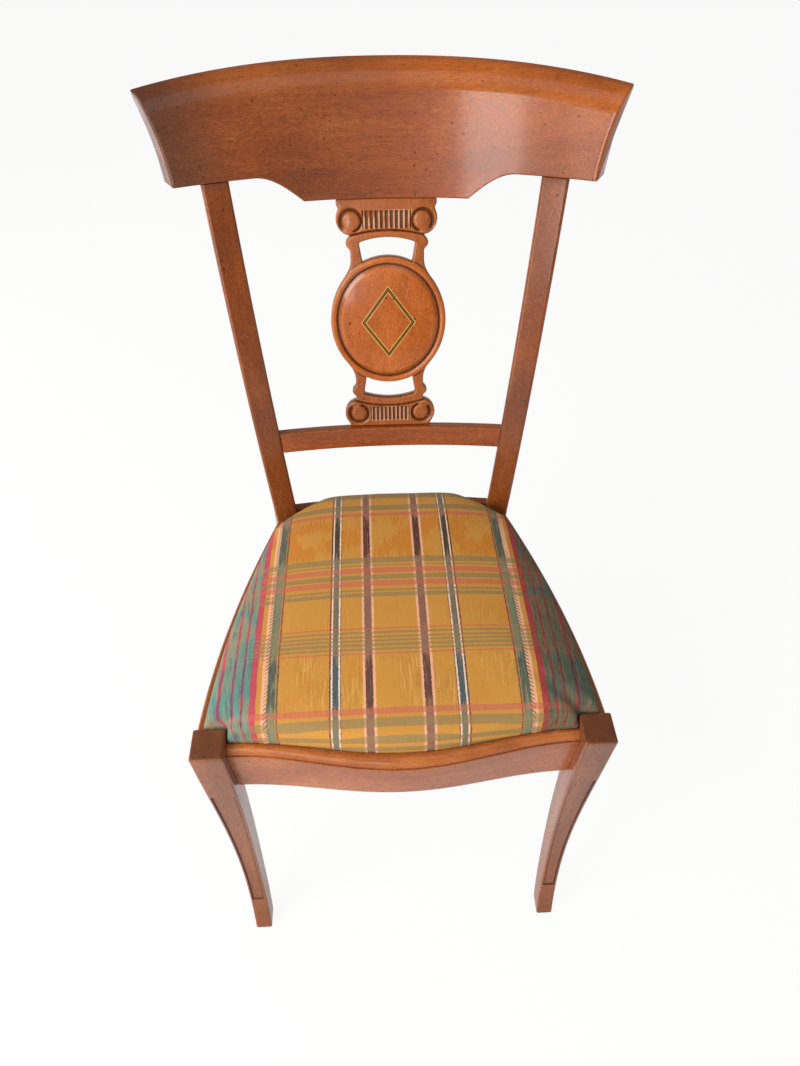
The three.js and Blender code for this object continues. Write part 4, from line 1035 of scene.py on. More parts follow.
def board_grid():
    """A square grid over the board, how far outside the outline it lies, and which of it is used.

    The squares whose middles lie inside the outline are kept, and their outer points are drawn onto it.
    """
    columns = int(2 * (medallion_halves[0] + board_margin) / carving_cell) | 1
    rows = int((splat_height + 2 * carving_margin) / carving_cell)
    u, v = np.meshgrid(
        (np.arange(columns) - columns // 2) * carving_cell,
        np.linspace(-carving_margin, splat_height + carving_margin, rows),
    )
    middle_gap = splat_gap((u[1:, 1:] + u[:-1, :-1]) / 2, (v[1:, 1:] + v[:-1, :-1]) / 2)
    kept = middle_gap < 0
    padded = np.pad(kept, 1)
    around = [padded[1:, 1:], padded[1:, :-1], padded[:-1, 1:], padded[:-1, :-1]]
    used = np.any(around, axis=0)
    border = used & ~np.all(around, axis=0)
    nudge = 1e-5
    for _ in range(4):
        gap = splat_gap(u, v)
        slope_u = (splat_gap(u + nudge, v) - gap) / nudge
        slope_v = (splat_gap(u, v + nudge) - gap) / nudge
        steep = np.maximum(slope_u**2 + slope_v**2, 0.2)
        u = np.where(border, u - gap * slope_u / steep, u)
        v = np.where(border, v - gap * slope_v / steep, v)
    return u, v, np.where(border, 0, splat_gap(u, v)), kept, used


def wear_carving(u, v, gap, relief):
    """How dark and how pale each point is: by how far it lies below or above its evened surroundings.

    Wax and painted shade darken the hollows, and wear and painted highlight pale the raised parts. All
    but the medallion is darker, the capitals a little more as painted shade, and the tops of the flutes
    are palest.
    """
    soft = relief
    for _ in range(8):
        wide = np.pad(soft, 1, mode="edge")
        soft = (wide[1:-1, 2:] + wide[1:-1, :-2] + wide[2:, 1:-1] + wide[:-2, 1:-1] + soft) / 5
    darkness = np.clip((soft - relief) / hollow_depth, 0, 1)
    sunk = np.clip((-neck_sink - sunk_margin - relief) / sunk_depth, 0, 1)
    sunk = sunk * np.clip(-gap / sunk_edge - 0.4, 0, 1)
    darkness = np.maximum(darkness, sunk**1.2)
    capitals = ease((np.abs(v - splat_height / 2) - splat_height / 2 + capital_height) / capital_stain_ease)
    off_medallion = ease(ellipse_gap(u, v, medallion_halves, medallion_height) / stain_ease)
    stained = stain_share * off_medallion + capital_stain_share * capitals
    darkness = np.maximum(darkness, stained * (gap < 0))
    rubbed = np.clip((relief - soft) / ridge_height, 0, 1) * 0.4
    for span, (low, high) in zip(flute_spans, flute_ranges):
        rubbed = np.where((np.abs(u) < span) & (v > low) & (v < high), rubbed * flute_rub_factor, rubbed)
    return darkness, rubbed


def carved_board():
    """The splat's points and faces, and for its front how dark and how pale each point is.

    The same squares make the front and the back, and walls join their outer sides.
    """
    u, v, gap, kept, used = board_grid()
    relief = splat_relief(u, v, gap)
    darkness, rubbed = wear_carving(u, v, gap, relief)
    back = 0.6 * edge_drop(gap) - splat_thickness
    number = np.cumsum(used).reshape(used.shape) - 1
    count = int(used.sum())
    quads = np.stack([number[:-1, :-1], number[:-1, 1:], number[1:, 1:], number[1:, :-1]], axis=-1)[kept]
    front_points = stand_up(u[used], v[used], relief[used])
    back_points = stand_up(u[used], v[used], back[used])
    edges = np.concatenate([quads[:, [0, 1]], quads[:, [1, 2]], quads[:, [2, 3]], quads[:, [3, 0]]])
    codes = edges[:, 0].astype(np.int64) * count + edges[:, 1]
    reverse = edges[:, 1].astype(np.int64) * count + edges[:, 0]
    outer = edges[~np.isin(codes, reverse)]
    walls = np.stack([outer[:, 1], outer[:, 0], outer[:, 0] + count, outer[:, 1] + count], axis=-1)
    faces = np.concatenate([quads, quads[:, ::-1] + count, walls])
    return np.concatenate([front_points, back_points]), faces, darkness[used], rubbed[used]


points, faces, darkness, rubbed = carved_board()
plain_back = np.zeros(len(darkness))
splat = piece_from(
    "carved_splat", points, faces.tolist(),
    worn=np.concatenate([rubbed, plain_back]), grime=np.concatenate([darkness * 0.92, plain_back]),
)
splat_wood = stained_wood(
    "splat_cherry", "z", (0.16, 0.036, 0.005), (0.37, 0.088, 0.01), (0.5, 0.155, 0.024), (2.3, 0.7, 0.1),
)
dress(splat, splat_wood, ["splat"])


# Diamond inlay
# Four mitred bands of dark wood between two thin pale strings, let in flush with the medallion's field.
diamond_halves = (0.0348, 0.0454)
stringing_width = 0.0006
dark_band_width = 0.0039
inlay_rise = 0.00008
inlay_thickness = 0.0009
diamond_reach = diamond_halves[0] * diamond_halves[1] / math.hypot(*diamond_halves)


def inlay_strip(inset, width, quarters):
    """Thin strips along sides of the diamond. Each follows the field between two insets from its edge."""
    share = np.linspace(0, 1, 25)
    corners = np.array([(1, 0), (0, 1), (-1, 0), (0, -1), (1, 0)])
    strips = []
    for quarter in quarters:
        run = mix(corners[quarter], corners[quarter + 1], share[:, None])
        rails = []
        for edge in (inset, inset + width / 2, inset + width):
            scale = 1 - edge / diamond_reach
            rails.append(run * np.array(diamond_halves) * scale + (0, medallion_height))
        path = np.stack(rails, axis=1)
        u, v = path[..., 0], path[..., 1]
        top = splat_relief(u, v, np.full(u.shape, -1.0)) + inlay_rise
        upper = stand_up(u, v, top)
        lower = stand_up(u[:, ::-1], v[:, ::-1], top[:, ::-1] - inlay_thickness)
        strips.append(np.concatenate([upper, lower], axis=1))
    return strips


dark_inlay = stained_wood(
    "dyed_inlay", "z", (0.07, 0.034, 0.004), (0.11, 0.055, 0.007), (0.15, 0.08, 0.012), coat=0.1,
)
light_inlay = stained_wood(
    "pale_inlay", "z", (0.62, 0.33, 0.07), (0.78, 0.44, 0.12), (0.88, 0.55, 0.2), coat=0.1,
)
quarter_names = ("right_upper", "left_upper", "left_lower", "right_lower")
for quarter, name in enumerate(quarter_names):
    strip = inlay_strip(stringing_width, dark_band_width, [quarter])[0]
    dress(skin(f"{name}_dark_band", strip), dark_inlay, [f"{name}_diamond_band"])
for name, inset in (("outer", 0), ("inner", stringing_width + dark_band_width)):
    for quarter, strip in enumerate(inlay_strip(inset, stringing_width, range(4))):
        string = skin(f"{name}_string_{quarter + 1}", strip)
        dress(string, light_inlay, [f"{name}_stringing"])


# Joinery under the seat
# Beech dowels and glue blocks hold the rails, and zinc-plated screws draw the blocks into the corners.
bare_beech = stained_wood(
    "bare_beech", "x", (0.42, 0.27, 0.14), (0.58, 0.41, 0.24), (0.7, 0.53, 0.34), coat=0,
)
zinc, zinc_tree, zinc_shader = new_material("zinc_plate")
zinc_position = place(zinc_tree, "ShaderNodeTexCoord").outputs["Object"]
spangle = noise(zinc_tree, zinc_position, (900, 900, 900))
feed(zinc_tree, zinc_shader, {
    "Base Color": tint(zinc_tree, spangle, (0.5, 0.5, 0.47, 1), (0.68, 0.68, 0.66, 1)),
    "Roughness": between(zinc_tree, spangle, 0.3, 0.7, 0.3, 0.5),
    "Metallic": 1,
})


def repaint(name, finish):
    """Gives a CAD node that shows its finished material."""
    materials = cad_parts[name].data.materials
    if len(materials) == 0:
        materials.append(finish)
    for slot_number in range(len(materials)):
        materials[slot_number] = finish


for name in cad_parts:
    if "_screw_" in name:
        repaint(name, zinc)
    elif "dowel" in name or "corner_block" in name or name.startswith("seat_frame"):
        repaint(name, bare_beech)


# Loose seat
# Plaid cloth is drawn over a crowned foam pad on a beech frame with elastic bands, and stapled under the
# frame, where a thin black cloth hides the work.
seat_clearance = 0.001
seat_side_straight = 0.0219  # the side stands straight up as far as the foam
seat_wall_height = 0.036
seat_wall_lean = 0.003
seat_crown = 0.03
crown_power_share = 2.5
crown_square_share = 0.72
rear_corner_start = 0.033
rear_corner_reach = 0.043
rear_corner_pull = 0.015
seat_middle_y = block_front + (block_side + seat_depth) / 2
wall_top = shelf_top + seat_wall_height
wall_bend = shelf_top + seat_side_straight
hem_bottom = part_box("seat_cover")[0][2]
swell_voxel = 0.0048
swell_pressure = 4.0
swell_frames = 20
swell_evening = 30  # rounds
crown_excess = 0.0025
crown_ease = 0.002
swell_cap = 0.006
swell_ramp = 0.02
swell_room = 0.003
swell_share = 0.02  # of the way from the seat's middle, to make up for that room
sideways_share = 0.25
outline_share = 0.93  # of the way out, where points start to be drawn onto the outline
outline_ease_share = 0.04
outline_drop = 0.012  # below the crown's edge, where that starts to fade
outline_fade = 0.014
pattern_middle = -0.0045  # the cloth was stapled this far off the seat's middle
crown_halves = (0.215, 0.175)  # of the crown, across and along
crown_run = 0.225  # level distance from the crown's middle to its edge, a mean over all directions
corner_power_share = 8  # how sharply the cloth changes sides at a corner


def seat_outline(inset):
    """The seat's edge, drawn in from the lips, blocks and posts, from the middle of the front right round.

    It follows the front lip's wave, turns square at the block, follows the side rail's bow, rounds the post
    with a cubic curve and follows the rear lip. The left half is the right half's mirror image.
    """
    notch_x, notch_y = block_inner - inset, block_front + block_side + inset
    corner_y = block_front + seat_depth - rear_corner_start
    inner = float(post_inner(rail_top))

    def side_x(y):
        return side_rail_face(y) - side_lip_width - inset

    def rear_y(x):
        return rear_rail_back(x) - rear_lip_width - inset

    front_x = notch_x * np.linspace(0, 1, 28)
    front = np.stack([front_x, front_lip_back(front_x) + inset], axis=-1)
    side_ys = mix(notch_y, corner_y, np.linspace(0, 1, 30))
    side = np.stack([side_x(side_ys), side_ys], axis=-1)
    rear_x = inner - rear_corner_reach - inset
    start = np.array([side_x(corner_y), corner_y])
    onward = np.array([side_x(corner_y + rear_corner_pull), corner_y + rear_corner_pull])
    before = np.array([rear_x + rear_corner_pull, rear_y(rear_x + rear_corner_pull)])
    finish = np.array([rear_x, rear_y(rear_x)])
    t = np.linspace(0, 1, 14)[1:, None]
    corner = (1 - t) ** 3 * start + 3 * t * (1 - t) ** 2 * onward
    corner = corner + 3 * t**2 * (1 - t) * before + t**3 * finish
    rear_xs = rear_x * (1 - np.linspace(0, 1, 14)[1:])
    rear = np.stack([rear_xs, rear_y(rear_xs)], axis=-1)
    half = np.concatenate([front, [[notch_x, notch_y]], side, corner, rear])
    return np.concatenate([half, half[-2:0:-1] * (-1, 1)])


def level_ring(inset, z):
    """The seat's edge as points at one height."""
    outline = seat_outline(inset)
    return np.column_stack([outline, np.full(len(outline), z)])


def cushion_rings(shrink):
    """From the middle of the underside out to its edge, up the sides and over the crown to its middle.

    Over the crown the height falls with a power of the share of the way out, steeply near the edge.
    """
    inset = seat_clearance + shrink
    hem = level_ring(inset, hem_bottom)
    rings = [shrink_ring(hem, share) for share in (0.2, 0.5, 0.8, 1)]
    rings.append(level_ring(inset, rail_top))
    rings.append(level_ring(inset, wall_bend))
    for turn in np.linspace(0, math.pi / 2, 26)[:-1]:
        spread = math.cos(turn)
        rise = (seat_crown - shrink) * (1 - spread**crown_power_share) ** crown_square_share
        rings.append(shrink_ring(level_ring(inset + seat_wall_lean, wall_top - shrink + rise), spread))
    return np.array(rings)


def shrink_ring(ring, share):
    """Draws a level ring in towards the seat's middle."""
    middle = np.array([0, seat_middle_y, 0])
    return (ring - middle) * (share, share, 1) + middle


def smooth_mesh(piece):
    """One step of subdivision, kept in the mesh."""
    subdivision = piece.modifiers.new("smooth", "SUBSURF")
    subdivision.levels = subdivision.render_levels = 1
    depsgraph = bpy.context.evaluated_depsgraph_get()
    finer = bpy.data.meshes.new_from_object(piece.evaluated_get(depsgraph))
    piece.modifiers.remove(subdivision)
    piece.data = finer
    finer.name = piece.name


def mesh_points(mesh):
    """The places of a mesh's points."""
    points = np.empty(len(mesh.vertices) * 3)
    mesh.vertices.foreach_get("co", points)
    return points.reshape(-1, 3)


def share_out(points, inset):
    """How far out a point lies on the seat: 0 in the middle and 1 at the outline in its own direction."""
    edge = seat_outline(inset)
    edge_angle = np.arctan2(edge[:, 1] - seat_middle_y, edge[:, 0])
    order = np.argsort(edge_angle)
    edge_reach = np.hypot(edge[:, 0], edge[:, 1] - seat_middle_y)[order]
    angle = np.arctan2(points[:, 1] - seat_middle_y, points[:, 0])
    reach = np.interp(angle, edge_angle[order], edge_reach, period=2 * math.pi)
    return np.hypot(points[:, 0], points[:, 1] - seat_middle_y) / reach


def crown_rise(share):
    """Height of the drawn crown over the wall, at a share of the way out."""
    return seat_crown * (1 - np.clip(share, 0, 1) ** crown_power_share) ** crown_square_share


def lay_cloth(mesh):
    """Writes where each point lies on the flat cloth, across and along its stripes, in metres.

    Over the crown that is the point's own place. Towards the edge the cloth turns down, so it runs on by
    the length of the curve beyond the level distance, square to the nearest side.
    """
    points = mesh_points(mesh)
    spread = share_out(points, seat_clearance + seat_wall_lean)
    share = np.linspace(0, 1, 400)
    run = share * crown_run
    arc = np.concatenate([[0], np.cumsum(np.hypot(np.diff(crown_rise(share)), np.diff(run)))])
    extra = np.interp(np.clip(spread, 0, 1), share, arc - run) + np.maximum(0, wall_top - points[:, 2])
    side_x = np.abs(points[:, 0] / crown_halves[0]) ** corner_power_share
    side_y = np.abs((points[:, 1] - seat_middle_y) / crown_halves[1]) ** corner_power_share
    size = np.hypot(side_x, side_y) + 1e-9
    across = points[:, 0] - pattern_middle + np.sign(points[:, 0]) * extra * side_x / size
    along = points[:, 1] - block_front + np.sign(points[:, 1] - seat_middle_y) * extra * side_y / size
    add_layer(mesh, "across", across)
    add_layer(mesh, "along", along)


def blow_up(points):
    """A closed bag of cloth, and its points before and after pressure swells it in a simulation."""
    small = skin("small_pad", points)
    remesh = small.modifiers.new("even", "REMESH")
    remesh.mode = "VOXEL"
    remesh.voxel_size = swell_voxel
    evened = small.evaluated_get(bpy.context.evaluated_depsgraph_get())
    bag = bpy.data.objects.new("swelling_pad", bpy.data.meshes.new_from_object(evened))
    bpy.context.collection.objects.link(bag)
    bpy.data.objects.remove(small)
    cloth = bag.modifiers.new("swell", "CLOTH")
    cloth.settings.quality = 6
    cloth.settings.use_pressure = True
    cloth.settings.uniform_pressure_force = swell_pressure
    cloth.settings.effector_weights.gravity = 0
    cloth.settings.tension_stiffness = 12
    cloth.settings.compression_stiffness = 12
    cloth.settings.bending_stiffness = 1.5
    cloth.point_cache.frame_start = 1
    cloth.point_cache.frame_end = swell_frames
    scene = bpy.context.scene
    for frame_number in range(1, swell_frames + 1):
        scene.frame_set(frame_number)
    before = mesh_points(bag.data)
    swollen = bag.evaluated_get(bpy.context.evaluated_depsgraph_get())
    after = mesh_points(swollen.to_mesh())
    swollen.to_mesh_clear()
    scene.frame_set(1)
    return bag, before, after


def swell(points):
    """Swells the pad, and returns its points and faces.

    The bag starts a little small. The bottom holds still, and the crown moves by up to the cap, evened out
    from point to point. The sides then stand on the outline, and nothing leaves the opening of the frame.
    """
    bag, before, after = blow_up(points)
    motion = after - before
    motion[:, :2] = motion[:, :2] * sideways_share + (before[:, :2] - (0, seat_middle_y)) * swell_share
    edges = np.array([edge.vertices[:] for edge in bag.data.edges])
    neighbours = np.bincount(edges.ravel(), minlength=len(motion))[:, None]
    for _ in range(swell_evening):
        total = np.zeros_like(motion)
        np.add.at(total, edges[:, 0], motion[edges[:, 1]])
        np.add.at(total, edges[:, 1], motion[edges[:, 0]])
        motion = mix(motion, total / neighbours, 0.7)
    length = np.linalg.norm(motion, axis=1, keepdims=True) + 1e-9
    allowed = swell_cap * ease((before[:, 2:] - wall_bend) / swell_ramp) + swell_room
    finished = before + motion * np.minimum(1, allowed / length)
    height = finished[:, 2]
    crown_share = share_out(finished, seat_clearance + seat_wall_lean)
    drawn_rise = crown_rise(crown_share)
    swollen_rise = (height - wall_top) * seat_crown / (height.max() - wall_top)
    swollen_rise = np.minimum(swollen_rise, drawn_rise + crown_excess)
    rise = mix(swollen_rise, np.maximum(swollen_rise, drawn_rise), ease(swollen_rise / crown_ease))
    crown_z = wall_top + np.minimum(rise, seat_crown)
    finished[:, 2] = np.where(height > wall_top, crown_z, np.maximum(height, hem_bottom))
    lean = np.clip((finished[:, 2] - wall_bend) / (wall_top - wall_bend), 0, 1)
    spread = mix(share_out(finished, seat_clearance), crown_share, lean)
    # Below the crown's edge the points near the outline are drawn right onto it.
    under_edge = 1 - ease((finished[:, 2] - wall_top + outline_drop) / outline_fade)
    at_wall = ease((spread - outline_share) / outline_ease_share) * under_edge
    limit = mix(1 / np.maximum(1, spread), 1 / np.maximum(spread, 0.5), at_wall)
    middle = np.array([0, seat_middle_y])
    finished[:, :2] = middle + (finished[:, :2] - middle) * limit[:, None]
    faces = [list(polygon.vertices) for polygon in bag.data.polygons]
    bpy.data.objects.remove(bag)
    return finished, faces


cushion = piece_from("plaid_cushion", *swell(cushion_rings(swell_room)))
smooth_mesh(cushion)
lay_cloth(cushion.data)

thread_colors = {
    "gold": (0.57, 0.268, 0.043),
    "reseda": (0.24, 0.185, 0.082),
    "coral": (0.55, 0.125, 0.08),
    "sage": (0.17, 0.2, 0.13),
    "plum": (0.25, 0.11, 0.085),
    "steel": (0.15, 0.15, 0.11),
    "rose": (0.8, 0.43, 0.27),
    "crimson": (0.25, 0.025, 0.045),
    "magenta": (0.48, 0.045, 0.1),
    "teal": (0.2, 0.25, 0.18),
    "cream": (0.86, 0.62, 0.45),
}
thread_marks = {"gold": 0, "rose": 0.5, "cream": 0.5}
warp_stripes = (
    (0, "gold"), (25.7, "rose"), (28.4, "plum"), (37.4, "rose"), (40.3, "gold"), (65.5, "crimson"),
    (66.9, "cream"), (69.2, "steel"), (75.7, "cream"), (78, "crimson"), (79.5, "gold"), (138.4, "crimson"),
    (140.2, "gold"), (141, "sage"), (150.5, "rose"), (157.5, "gold"), (163.6, "magenta"), (171.5, "teal"),
    (179.5, "magenta"), (182.5, "teal"), (191, "magenta"), (194, "teal"), (207, "magenta"), (211, "teal"),
)
front_bands = (
    (-60, "gold"), (-14, "reseda"), (-6, "gold"), (1, "reseda"), (10.5, "gold"), (20, "reseda"),
    (30, "gold"), (34, "coral"), (41.4, "gold"), (106, "coral"), (107.8, "gold"), (111, "reseda"),
    (114.3, "gold"), (116.5, "reseda"), (119.8, "gold"), (122, "reseda"), (125.3, "gold"), (127.5, "reseda"),
    (130.8, "gold"), (133, "reseda"), (136.2, "gold"), (139.6, "coral"), (141.4, "gold"), (187.6, "reseda"),
    (193, "gold"),
)
rear_bands = (
    (193, "gold"), (196, "reseda"), (198.4, "gold"), (204, "coral"), (212, "gold"), (214.5, "reseda"),
    (222, "gold"), (225, "coral"), (233, "gold"), (236.2, "reseda"), (238.8, "gold"), (241.5, "reseda"),
    (250.5, "gold"), (330, "coral"), (337, "gold"), (343.5, "reseda"), (355.5, "gold"), (374, "reseda"),
    (405, "gold"),
)
gold_bands = ((0.073, 0.029), (0.165, 0.021), (0.29, 0.036))  # middle and half length along the cloth
middle_stripes_end = 0.05  # places across the cloth, out from its middle
outer_stripes_start = 0.12
comb_band = (0.1522, 0.003)  # middle and half width
black_stripes_end = 0.156
dark_side_start = 0.162
side_field_start = 0.1715
rear_start = 0.1945  # along the cloth, where the rear bands take over


def stripes(tree, value, bands, first, last):
    """A colour ramp with hard edges: each band starts at its distance in millimetres.

    Its second output is 0 on the gold ground, a half on a pale stripe and 1 on any other stripe.
    """
    place_on_ramp = between(tree, value, first / 1000, last / 1000)
    ramp = place(tree, "ShaderNodeValToRGB", {0: place_on_ramp})
    ramp.color_ramp.interpolation = "CONSTANT"
    elements = ramp.color_ramp.elements
    elements.remove(elements[1])
    for number, (start, thread) in enumerate(bands):
        position = (start - first) / (last - first)
        element = elements[0] if number == 0 else elements.new(position)
        element.position = position
        element.color = (*thread_colors[thread], thread_marks.get(thread, 1))
    return ramp.outputs


def make_plaid():
    """Twill plaid. The warp's stripes are full, and the weft's bands show between slanting ribs.

    The warp was dyed in the hank, so its colour changes in patches whose ends are drawn out into spikes,
    thread by thread. Its dark stripes turn nearly black in the wide gold bands.
    """
    group, given, result = new_group("plaid", Across="Float", Along="Float")
    # Places on the cloth. The dyed patches and the three wide gold bands follow a place that
    # spikes pull along.
    across, along = given["Across"], given["Along"]
    flat = place(group, "ShaderNodeCombineXYZ", {0: across, 1: along}).outputs[0]
    out = arithmetic(group, "ABSOLUTE", across)
    spikes = noise(group, flat, (430, 7, 1), Roughness=0.65)
    drawn = scale_add(group, spikes, 0.07, arithmetic(group, "SUBTRACT", along, 0.035))
    drawn_flat = place(group, "ShaderNodeCombineXYZ", {0: across, 1: drawn}).outputs[0]
    patches = noise(group, drawn_flat, (24, 28, 1), 1.5)
    ripples = noise(group, flat, (480, 34, 1), Distortion=0.6)
    clusters = noise(group, flat, (17, 13, 1), 1.0)
    front_zone, middle_zone, rear_zone = (arithmetic(group, "COMPARE", drawn, *band) for band in gold_bands)
    wide_zones = arithmetic(group, "ADD", arithmetic(group, "ADD", front_zone, middle_zone), rear_zone)

    # The warp's stripes, which turn nearly black in the gold bands where no ripple lies.
    jitter = noise(group, flat, (500, 300, 1))
    shifted = scale_add(group, jitter, 0.0024, arithmetic(group, "SUBTRACT", out, 0.0012))
    warp = stripes(group, shifted, warp_stripes, 0, 250)
    strong = arithmetic(group, "GREATER_THAN", warp[1], 0.75)
    on_gold = arithmetic(group, "LESS_THAN", warp[1], 0.25)
    on_field = arithmetic(group, "GREATER_THAN", out, side_field_start)
    on_teal = multiply(group, on_field, strong)
    black = (0.016, 0.018, 0.02, 1)
    core = tint(group, front_zone, black, (0.022, 0.08, 0.12, 1))
    outer_stripes = arithmetic(group, "GREATER_THAN", out, outer_stripes_start)
    middle_stripes = arithmetic(group, "LESS_THAN", out, middle_stripes_end)
    core = tint(group, outer_stripes, core, (0.045, 0.085, 0.075, 1))
    core = tint(group, middle_stripes, core, (0.055, 0.01, 0.02, 1))
    in_front = between(group, middle_stripes, 0, 1, 0.95, 0.82)
    char = multiply(group, rear_zone, 0.92)
    char = scale_add(group, front_zone, in_front, char)
    char = scale_add(group, middle_zone, 0.12, char)
    inner = arithmetic(group, "LESS_THAN", out, black_stripes_end)
    char = multiply(group, char, between(group, ripples, 0.34, 0.4), strong, inner)
    ground = tint(group, char, warp[0], core)

    # Bright and deep patches on the teal field at each side, and a comb of dark dashes beside it.
    bright = scale_add(group, rear_zone, 0.04, patches)
    bright = scale_add(group, front_zone, 0.13, bright)
    bright = multiply(group, between(group, bright, 0.54, 0.57), on_teal, 0.85)
    ground = tint(group, bright, ground, (0.3, 1.0, 1.35, 1), "MULTIPLY")
    deep = scale_add(group, arithmetic(group, "GREATER_THAN", across, 0.0), 0.09, ripples)
    deep = multiply(group, between(group, deep, 0.57, 0.6), on_teal, 0.7)
    ground = tint(group, deep, ground, (0.35, 0.5, 0.5, 1), "MULTIPLY")
    comb = arithmetic(group, "PINGPONG", scale_add(group, out, 0.7, along), 0.0024)
    comb_zone = arithmetic(group, "COMPARE", out, *comb_band)
    comb = multiply(group, between(group, comb, 0.0007, 0.0011, 1.0, 0.0), comb_zone)
    comb = multiply(group, comb, between(group, clusters, 0.33, 0.38), 0.85)
    ground = tint(group, comb, ground, (0.03, 0.05, 0.045, 1))

    # Orange patches on the gold, faint in the front and middle bands.
    orange = scale_add(group, rear_zone, 0.1, patches)
    orange = multiply(group, between(group, orange, 0.582, 0.587), wide_zones, on_gold)
    orange = multiply(group, orange, between(group, front_zone, 0, 1, 1.0, 0.35))
    orange = multiply(group, orange, between(group, middle_zone, 0, 1, 1.0, 0.4))
    ground = tint(group, orange, ground, (0.98, 0.74, 0.4, 1), "MULTIPLY")

    # The weft's bands, whose edges wander a little from thread to thread.
    wander = noise(group, flat, (120, 420, 1), 1.0)
    moved = scale_add(group, wander, 0.001, arithmetic(group, "SUBTRACT", along, 0.0005))
    front = stripes(group, moved, front_bands, front_bands[0][0], 200)
    rear = stripes(group, moved, rear_bands, rear_bands[0][0], 460)
    behind = arithmetic(group, "GREATER_THAN", moved, rear_start)
    weft = tint(group, behind, front[0], rear[0])
    weft = tint(group, multiply(group, on_field, 0.15), weft, (0.45, 0.5, 0.46, 1))
    weft_shows = place(group, "ShaderNodeMix", {0: behind, 2: front[1], 3: rear[1]}).outputs[0]

    # The weft covers more of the warp between the slanting ribs, and less of its stripes.
    slant = scale_add(group, along, 0.9, across)
    rib = arithmetic(group, "PINGPONG", multiply(group, slant, 900.0), 1.0)
    thread = arithmetic(group, "PINGPONG", multiply(group, along, 1500.0), 1.0)
    cover = scale_add(group, warp[1], -0.3, 0.58)
    cover = scale_add(group, between(group, rib, 0.3, 0.7), 0.4, cover)
    cover = multiply(group, cover, between(group, on_field, 0, 1, 1.0, 0.5))
    color = tint(group, arithmetic(group, "MULTIPLY", cover, weft_shows, clamp=True), ground, weft)
    # Painted shade: the stripes on the right side, past the comb, are darker.
    beyond = arithmetic(group, "GREATER_THAN", across, dark_side_start)
    darker_side = multiply(group, beyond, arithmetic(group, "GREATER_THAN", warp[1], 0.25))
    color = tint(group, darker_side, color, (0.66, 0.48, 0.42, 1), "MULTIPLY")

    # Painted highlight on the crests of the ripples on the gold and painted shade in their hollows, thick
    # threads, and painted shade between the threads.
    crest = between(group, ripples, 0.54, 0.58)
    calm = scale_add(group, middle_zone, 0.3, front_zone)
    calm = scale_add(group, rear_zone, 0.2, calm)
    calm = multiply(group, calm, on_gold, between(group, clusters, 0.44, 0.52))
    crest = multiply(group, crest, calm)
    hollow = multiply(group, between(group, ripples, 0.46, 0.42), calm, 0.28)
    color = tint(group, multiply(group, crest, 0.3), color, (0.84, 0.52, 0.17, 1))
    color = tint(group, hollow, color, (0.55, 0.5, 0.4, 1), "MULTIPLY")
    slub = noise(group, flat, (1300, 80, 1), 1.0)
    color = tint(group, between(group, slub, 0.35, 0.7, 0.0, 0.1), color, (0.85, 0.52, 0.2, 1))
    shade = between(group, arithmetic(group, "ADD", rib, thread), 0.0, 1.3, 0.42, 0.0)
    color = tint(group, shade, color, (0.09, 0.05, 0.02, 1))
    group.links.new(color, result["Color"])
    group.links.new(between(group, slub, 0, 1, 0.66, 0.84), result["Roughness"])
    height = scale_add(group, thread, 0.5, rib)
    height = scale_add(group, slub, 0.6, height)
    height = scale_add(group, crest, 1.8, height)
    group.links.new(height, result["Height"])
    return group


plaid_cloth, cloth_tree, cloth_shader = new_material("plaid_cloth")
weave = place(cloth_tree, "ShaderNodeGroup", node_tree=make_plaid())
feed(cloth_tree, weave, {label.title(): point_layer(cloth_tree, label) for label in ("across", "along")})
show_pattern(cloth_tree, cloth_shader, weave, 0.6, 0.0006)
feed(cloth_tree, cloth_shader, {"Specular IOR Level": 0.2, "Sheen Weight": 0.03, "Sheen Roughness": 0.4})
dress(cushion, plaid_cloth, ["seat_cover", "foam_pad"], body="seat")


def plain_weave(name, dark, pale, count, roughness):
    """A plain over-and-under weave in two close tones, with a given count of threads in each metre."""
    material, tree, shader = new_material(name)
    position = place(tree, "ShaderNodeTexCoord").outputs["Object"]
    parts = place(tree, "ShaderNodeSeparateXYZ", {0: position}).outputs
    turns = [multiply(tree, parts[axis], count * math.pi) for axis in (0, 1)]
    waves = [arithmetic(tree, "SINE", turn) for turn in turns]
    tone = between(tree, multiply(tree, *waves), -0.6, 0.6)
    bump = place(tree, "ShaderNodeBump", {"Height": tone, "Strength": 0.3, "Distance": 0.0003})
    feed(tree, shader, {
        "Base Color": tint(tree, tone, (*dark, 1), (*pale, 1)),
        "Roughness": between(tree, tone, 0, 1, roughness, roughness + 0.1),
        "Normal": bump.outputs[0],
    })
    return material


repaint("dust_cover", plain_weave("black_dust_cloth", (0.012, 0.012, 0.013), (0.04, 0.04, 0.042), 900, 0.8))
elastic = plain_weave("elastic_webbing", (0.014, 0.014, 0.015), (0.05, 0.048, 0.045), 420, 0.75)
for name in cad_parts:
    if name.startswith("webbing"):
        repaint(name, elastic)


# Studio
# The chair stands on white paper, which glows a little towards the camera and in reflections. A window at
# the left and a soft lamp at the front left light it, a narrow lamp in front gives the long highlight on
# the crest, and two weak ones fill the left side and the top.
floor_half = 9.0
floor_mesh = bpy.data.meshes.new("studio_floor")
floor_corners = [(x * floor_half, y * floor_half, 0) for x, y in ((-1, -1), (1, -1), (1, 1), (-1, 1))]
floor_mesh.from_pydata(floor_corners, [], [(0, 1, 2, 3)])
floor = bpy.data.objects.new("studio_floor", floor_mesh)
bpy.context.collection.objects.link(floor)

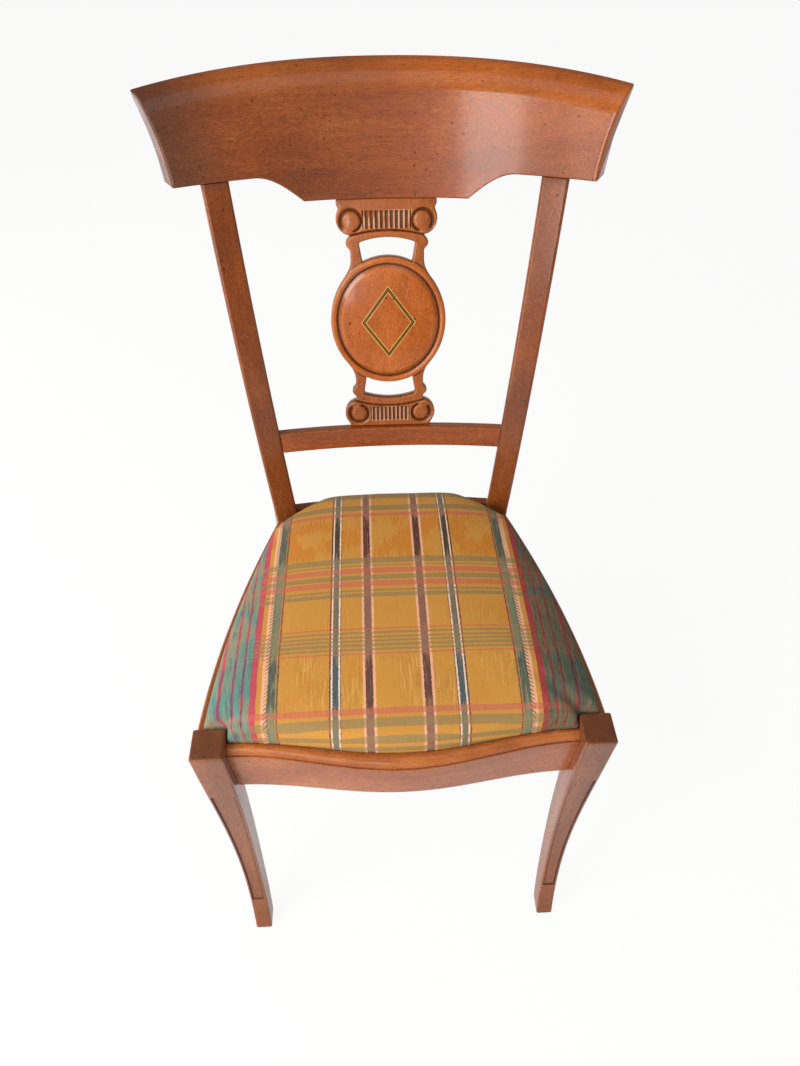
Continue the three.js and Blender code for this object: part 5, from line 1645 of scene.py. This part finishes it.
paper, paper_tree, paper_shader = new_material("white_paper")
paper_noise = noise(paper_tree, place(paper_tree, "ShaderNodeTexCoord").outputs["Object"], (40, 40, 40))
feed(paper_tree, paper_shader, {
    "Roughness": between(paper_tree, paper_noise, 0, 1, 0.8, 0.9), "Base Color": (0.84, 0.84, 0.84, 1),
})
rays = place(paper_tree, "ShaderNodeLightPath").outputs
direct = arithmetic(paper_tree, "MAXIMUM", rays["Is Glossy Ray"], rays["Is Transmission Ray"])
direct = arithmetic(paper_tree, "MAXIMUM", direct, rays["Is Camera Ray"])
glow = place(paper_tree, "ShaderNodeEmission", {"Color": (1, 1, 1, 1), "Strength": 1.0}).outputs[0]
glow_share = multiply(paper_tree, direct, 0.92)
blend = place(paper_tree, "ShaderNodeMixShader", {0: glow_share, 1: paper_shader.outputs[0], 2: glow})
feed(paper_tree, paper_tree.nodes["Material Output"], {"Surface": blend.outputs[0]})
floor_mesh.materials.append(paper)


def softbox(name, azimuth, elevation, distance, size, watts, color=(1, 1, 1)):
    """A rectangular lamp aimed at the chair's back. Its azimuth is 0 in front and positive to the right."""
    lamp = bpy.data.lights.new(name, "AREA")
    lamp.shape = "RECTANGLE"
    lamp.size, lamp.size_y = size
    lamp.energy = watts
    lamp.color = color
    turn, lift = math.radians(azimuth), math.radians(elevation)
    target = Vector((0, 0.1, 0.7))
    away = Vector((math.sin(turn) * math.cos(lift), -math.cos(turn) * math.cos(lift), math.sin(lift)))
    item = bpy.data.objects.new(name, lamp)
    item.location = target + away * distance
    item.rotation_euler = away.to_track_quat("Z", "Y").to_euler()
    bpy.context.collection.objects.link(item)


softbox("left_window", -64, 34, 2.8, (1.7, 1.6), 88, (1, 0.97, 0.92))
softbox("front_left_softbox", -28, 8, 3, (1.6, 1.7), 34, (1, 0.9, 0.8))
softbox("front_strip", -7, 15, 3.1, (0.24, 1.2), 10)
softbox("low_left_window", -110, -8, 2.1, (1.4, 0.5), 9)
softbox("overhead_softbox", 20, 55, 3, (2.2, 1.6), 12)

world = bpy.data.worlds.new("studio_air")
world.use_nodes = True
feed(world.node_tree, world.node_tree.nodes["Background"], {"Color": (1, 0.95, 0.88, 1), "Strength": 0.34})
bpy.context.scene.world = world
bpy.context.scene.view_settings.view_transform = "Standard"
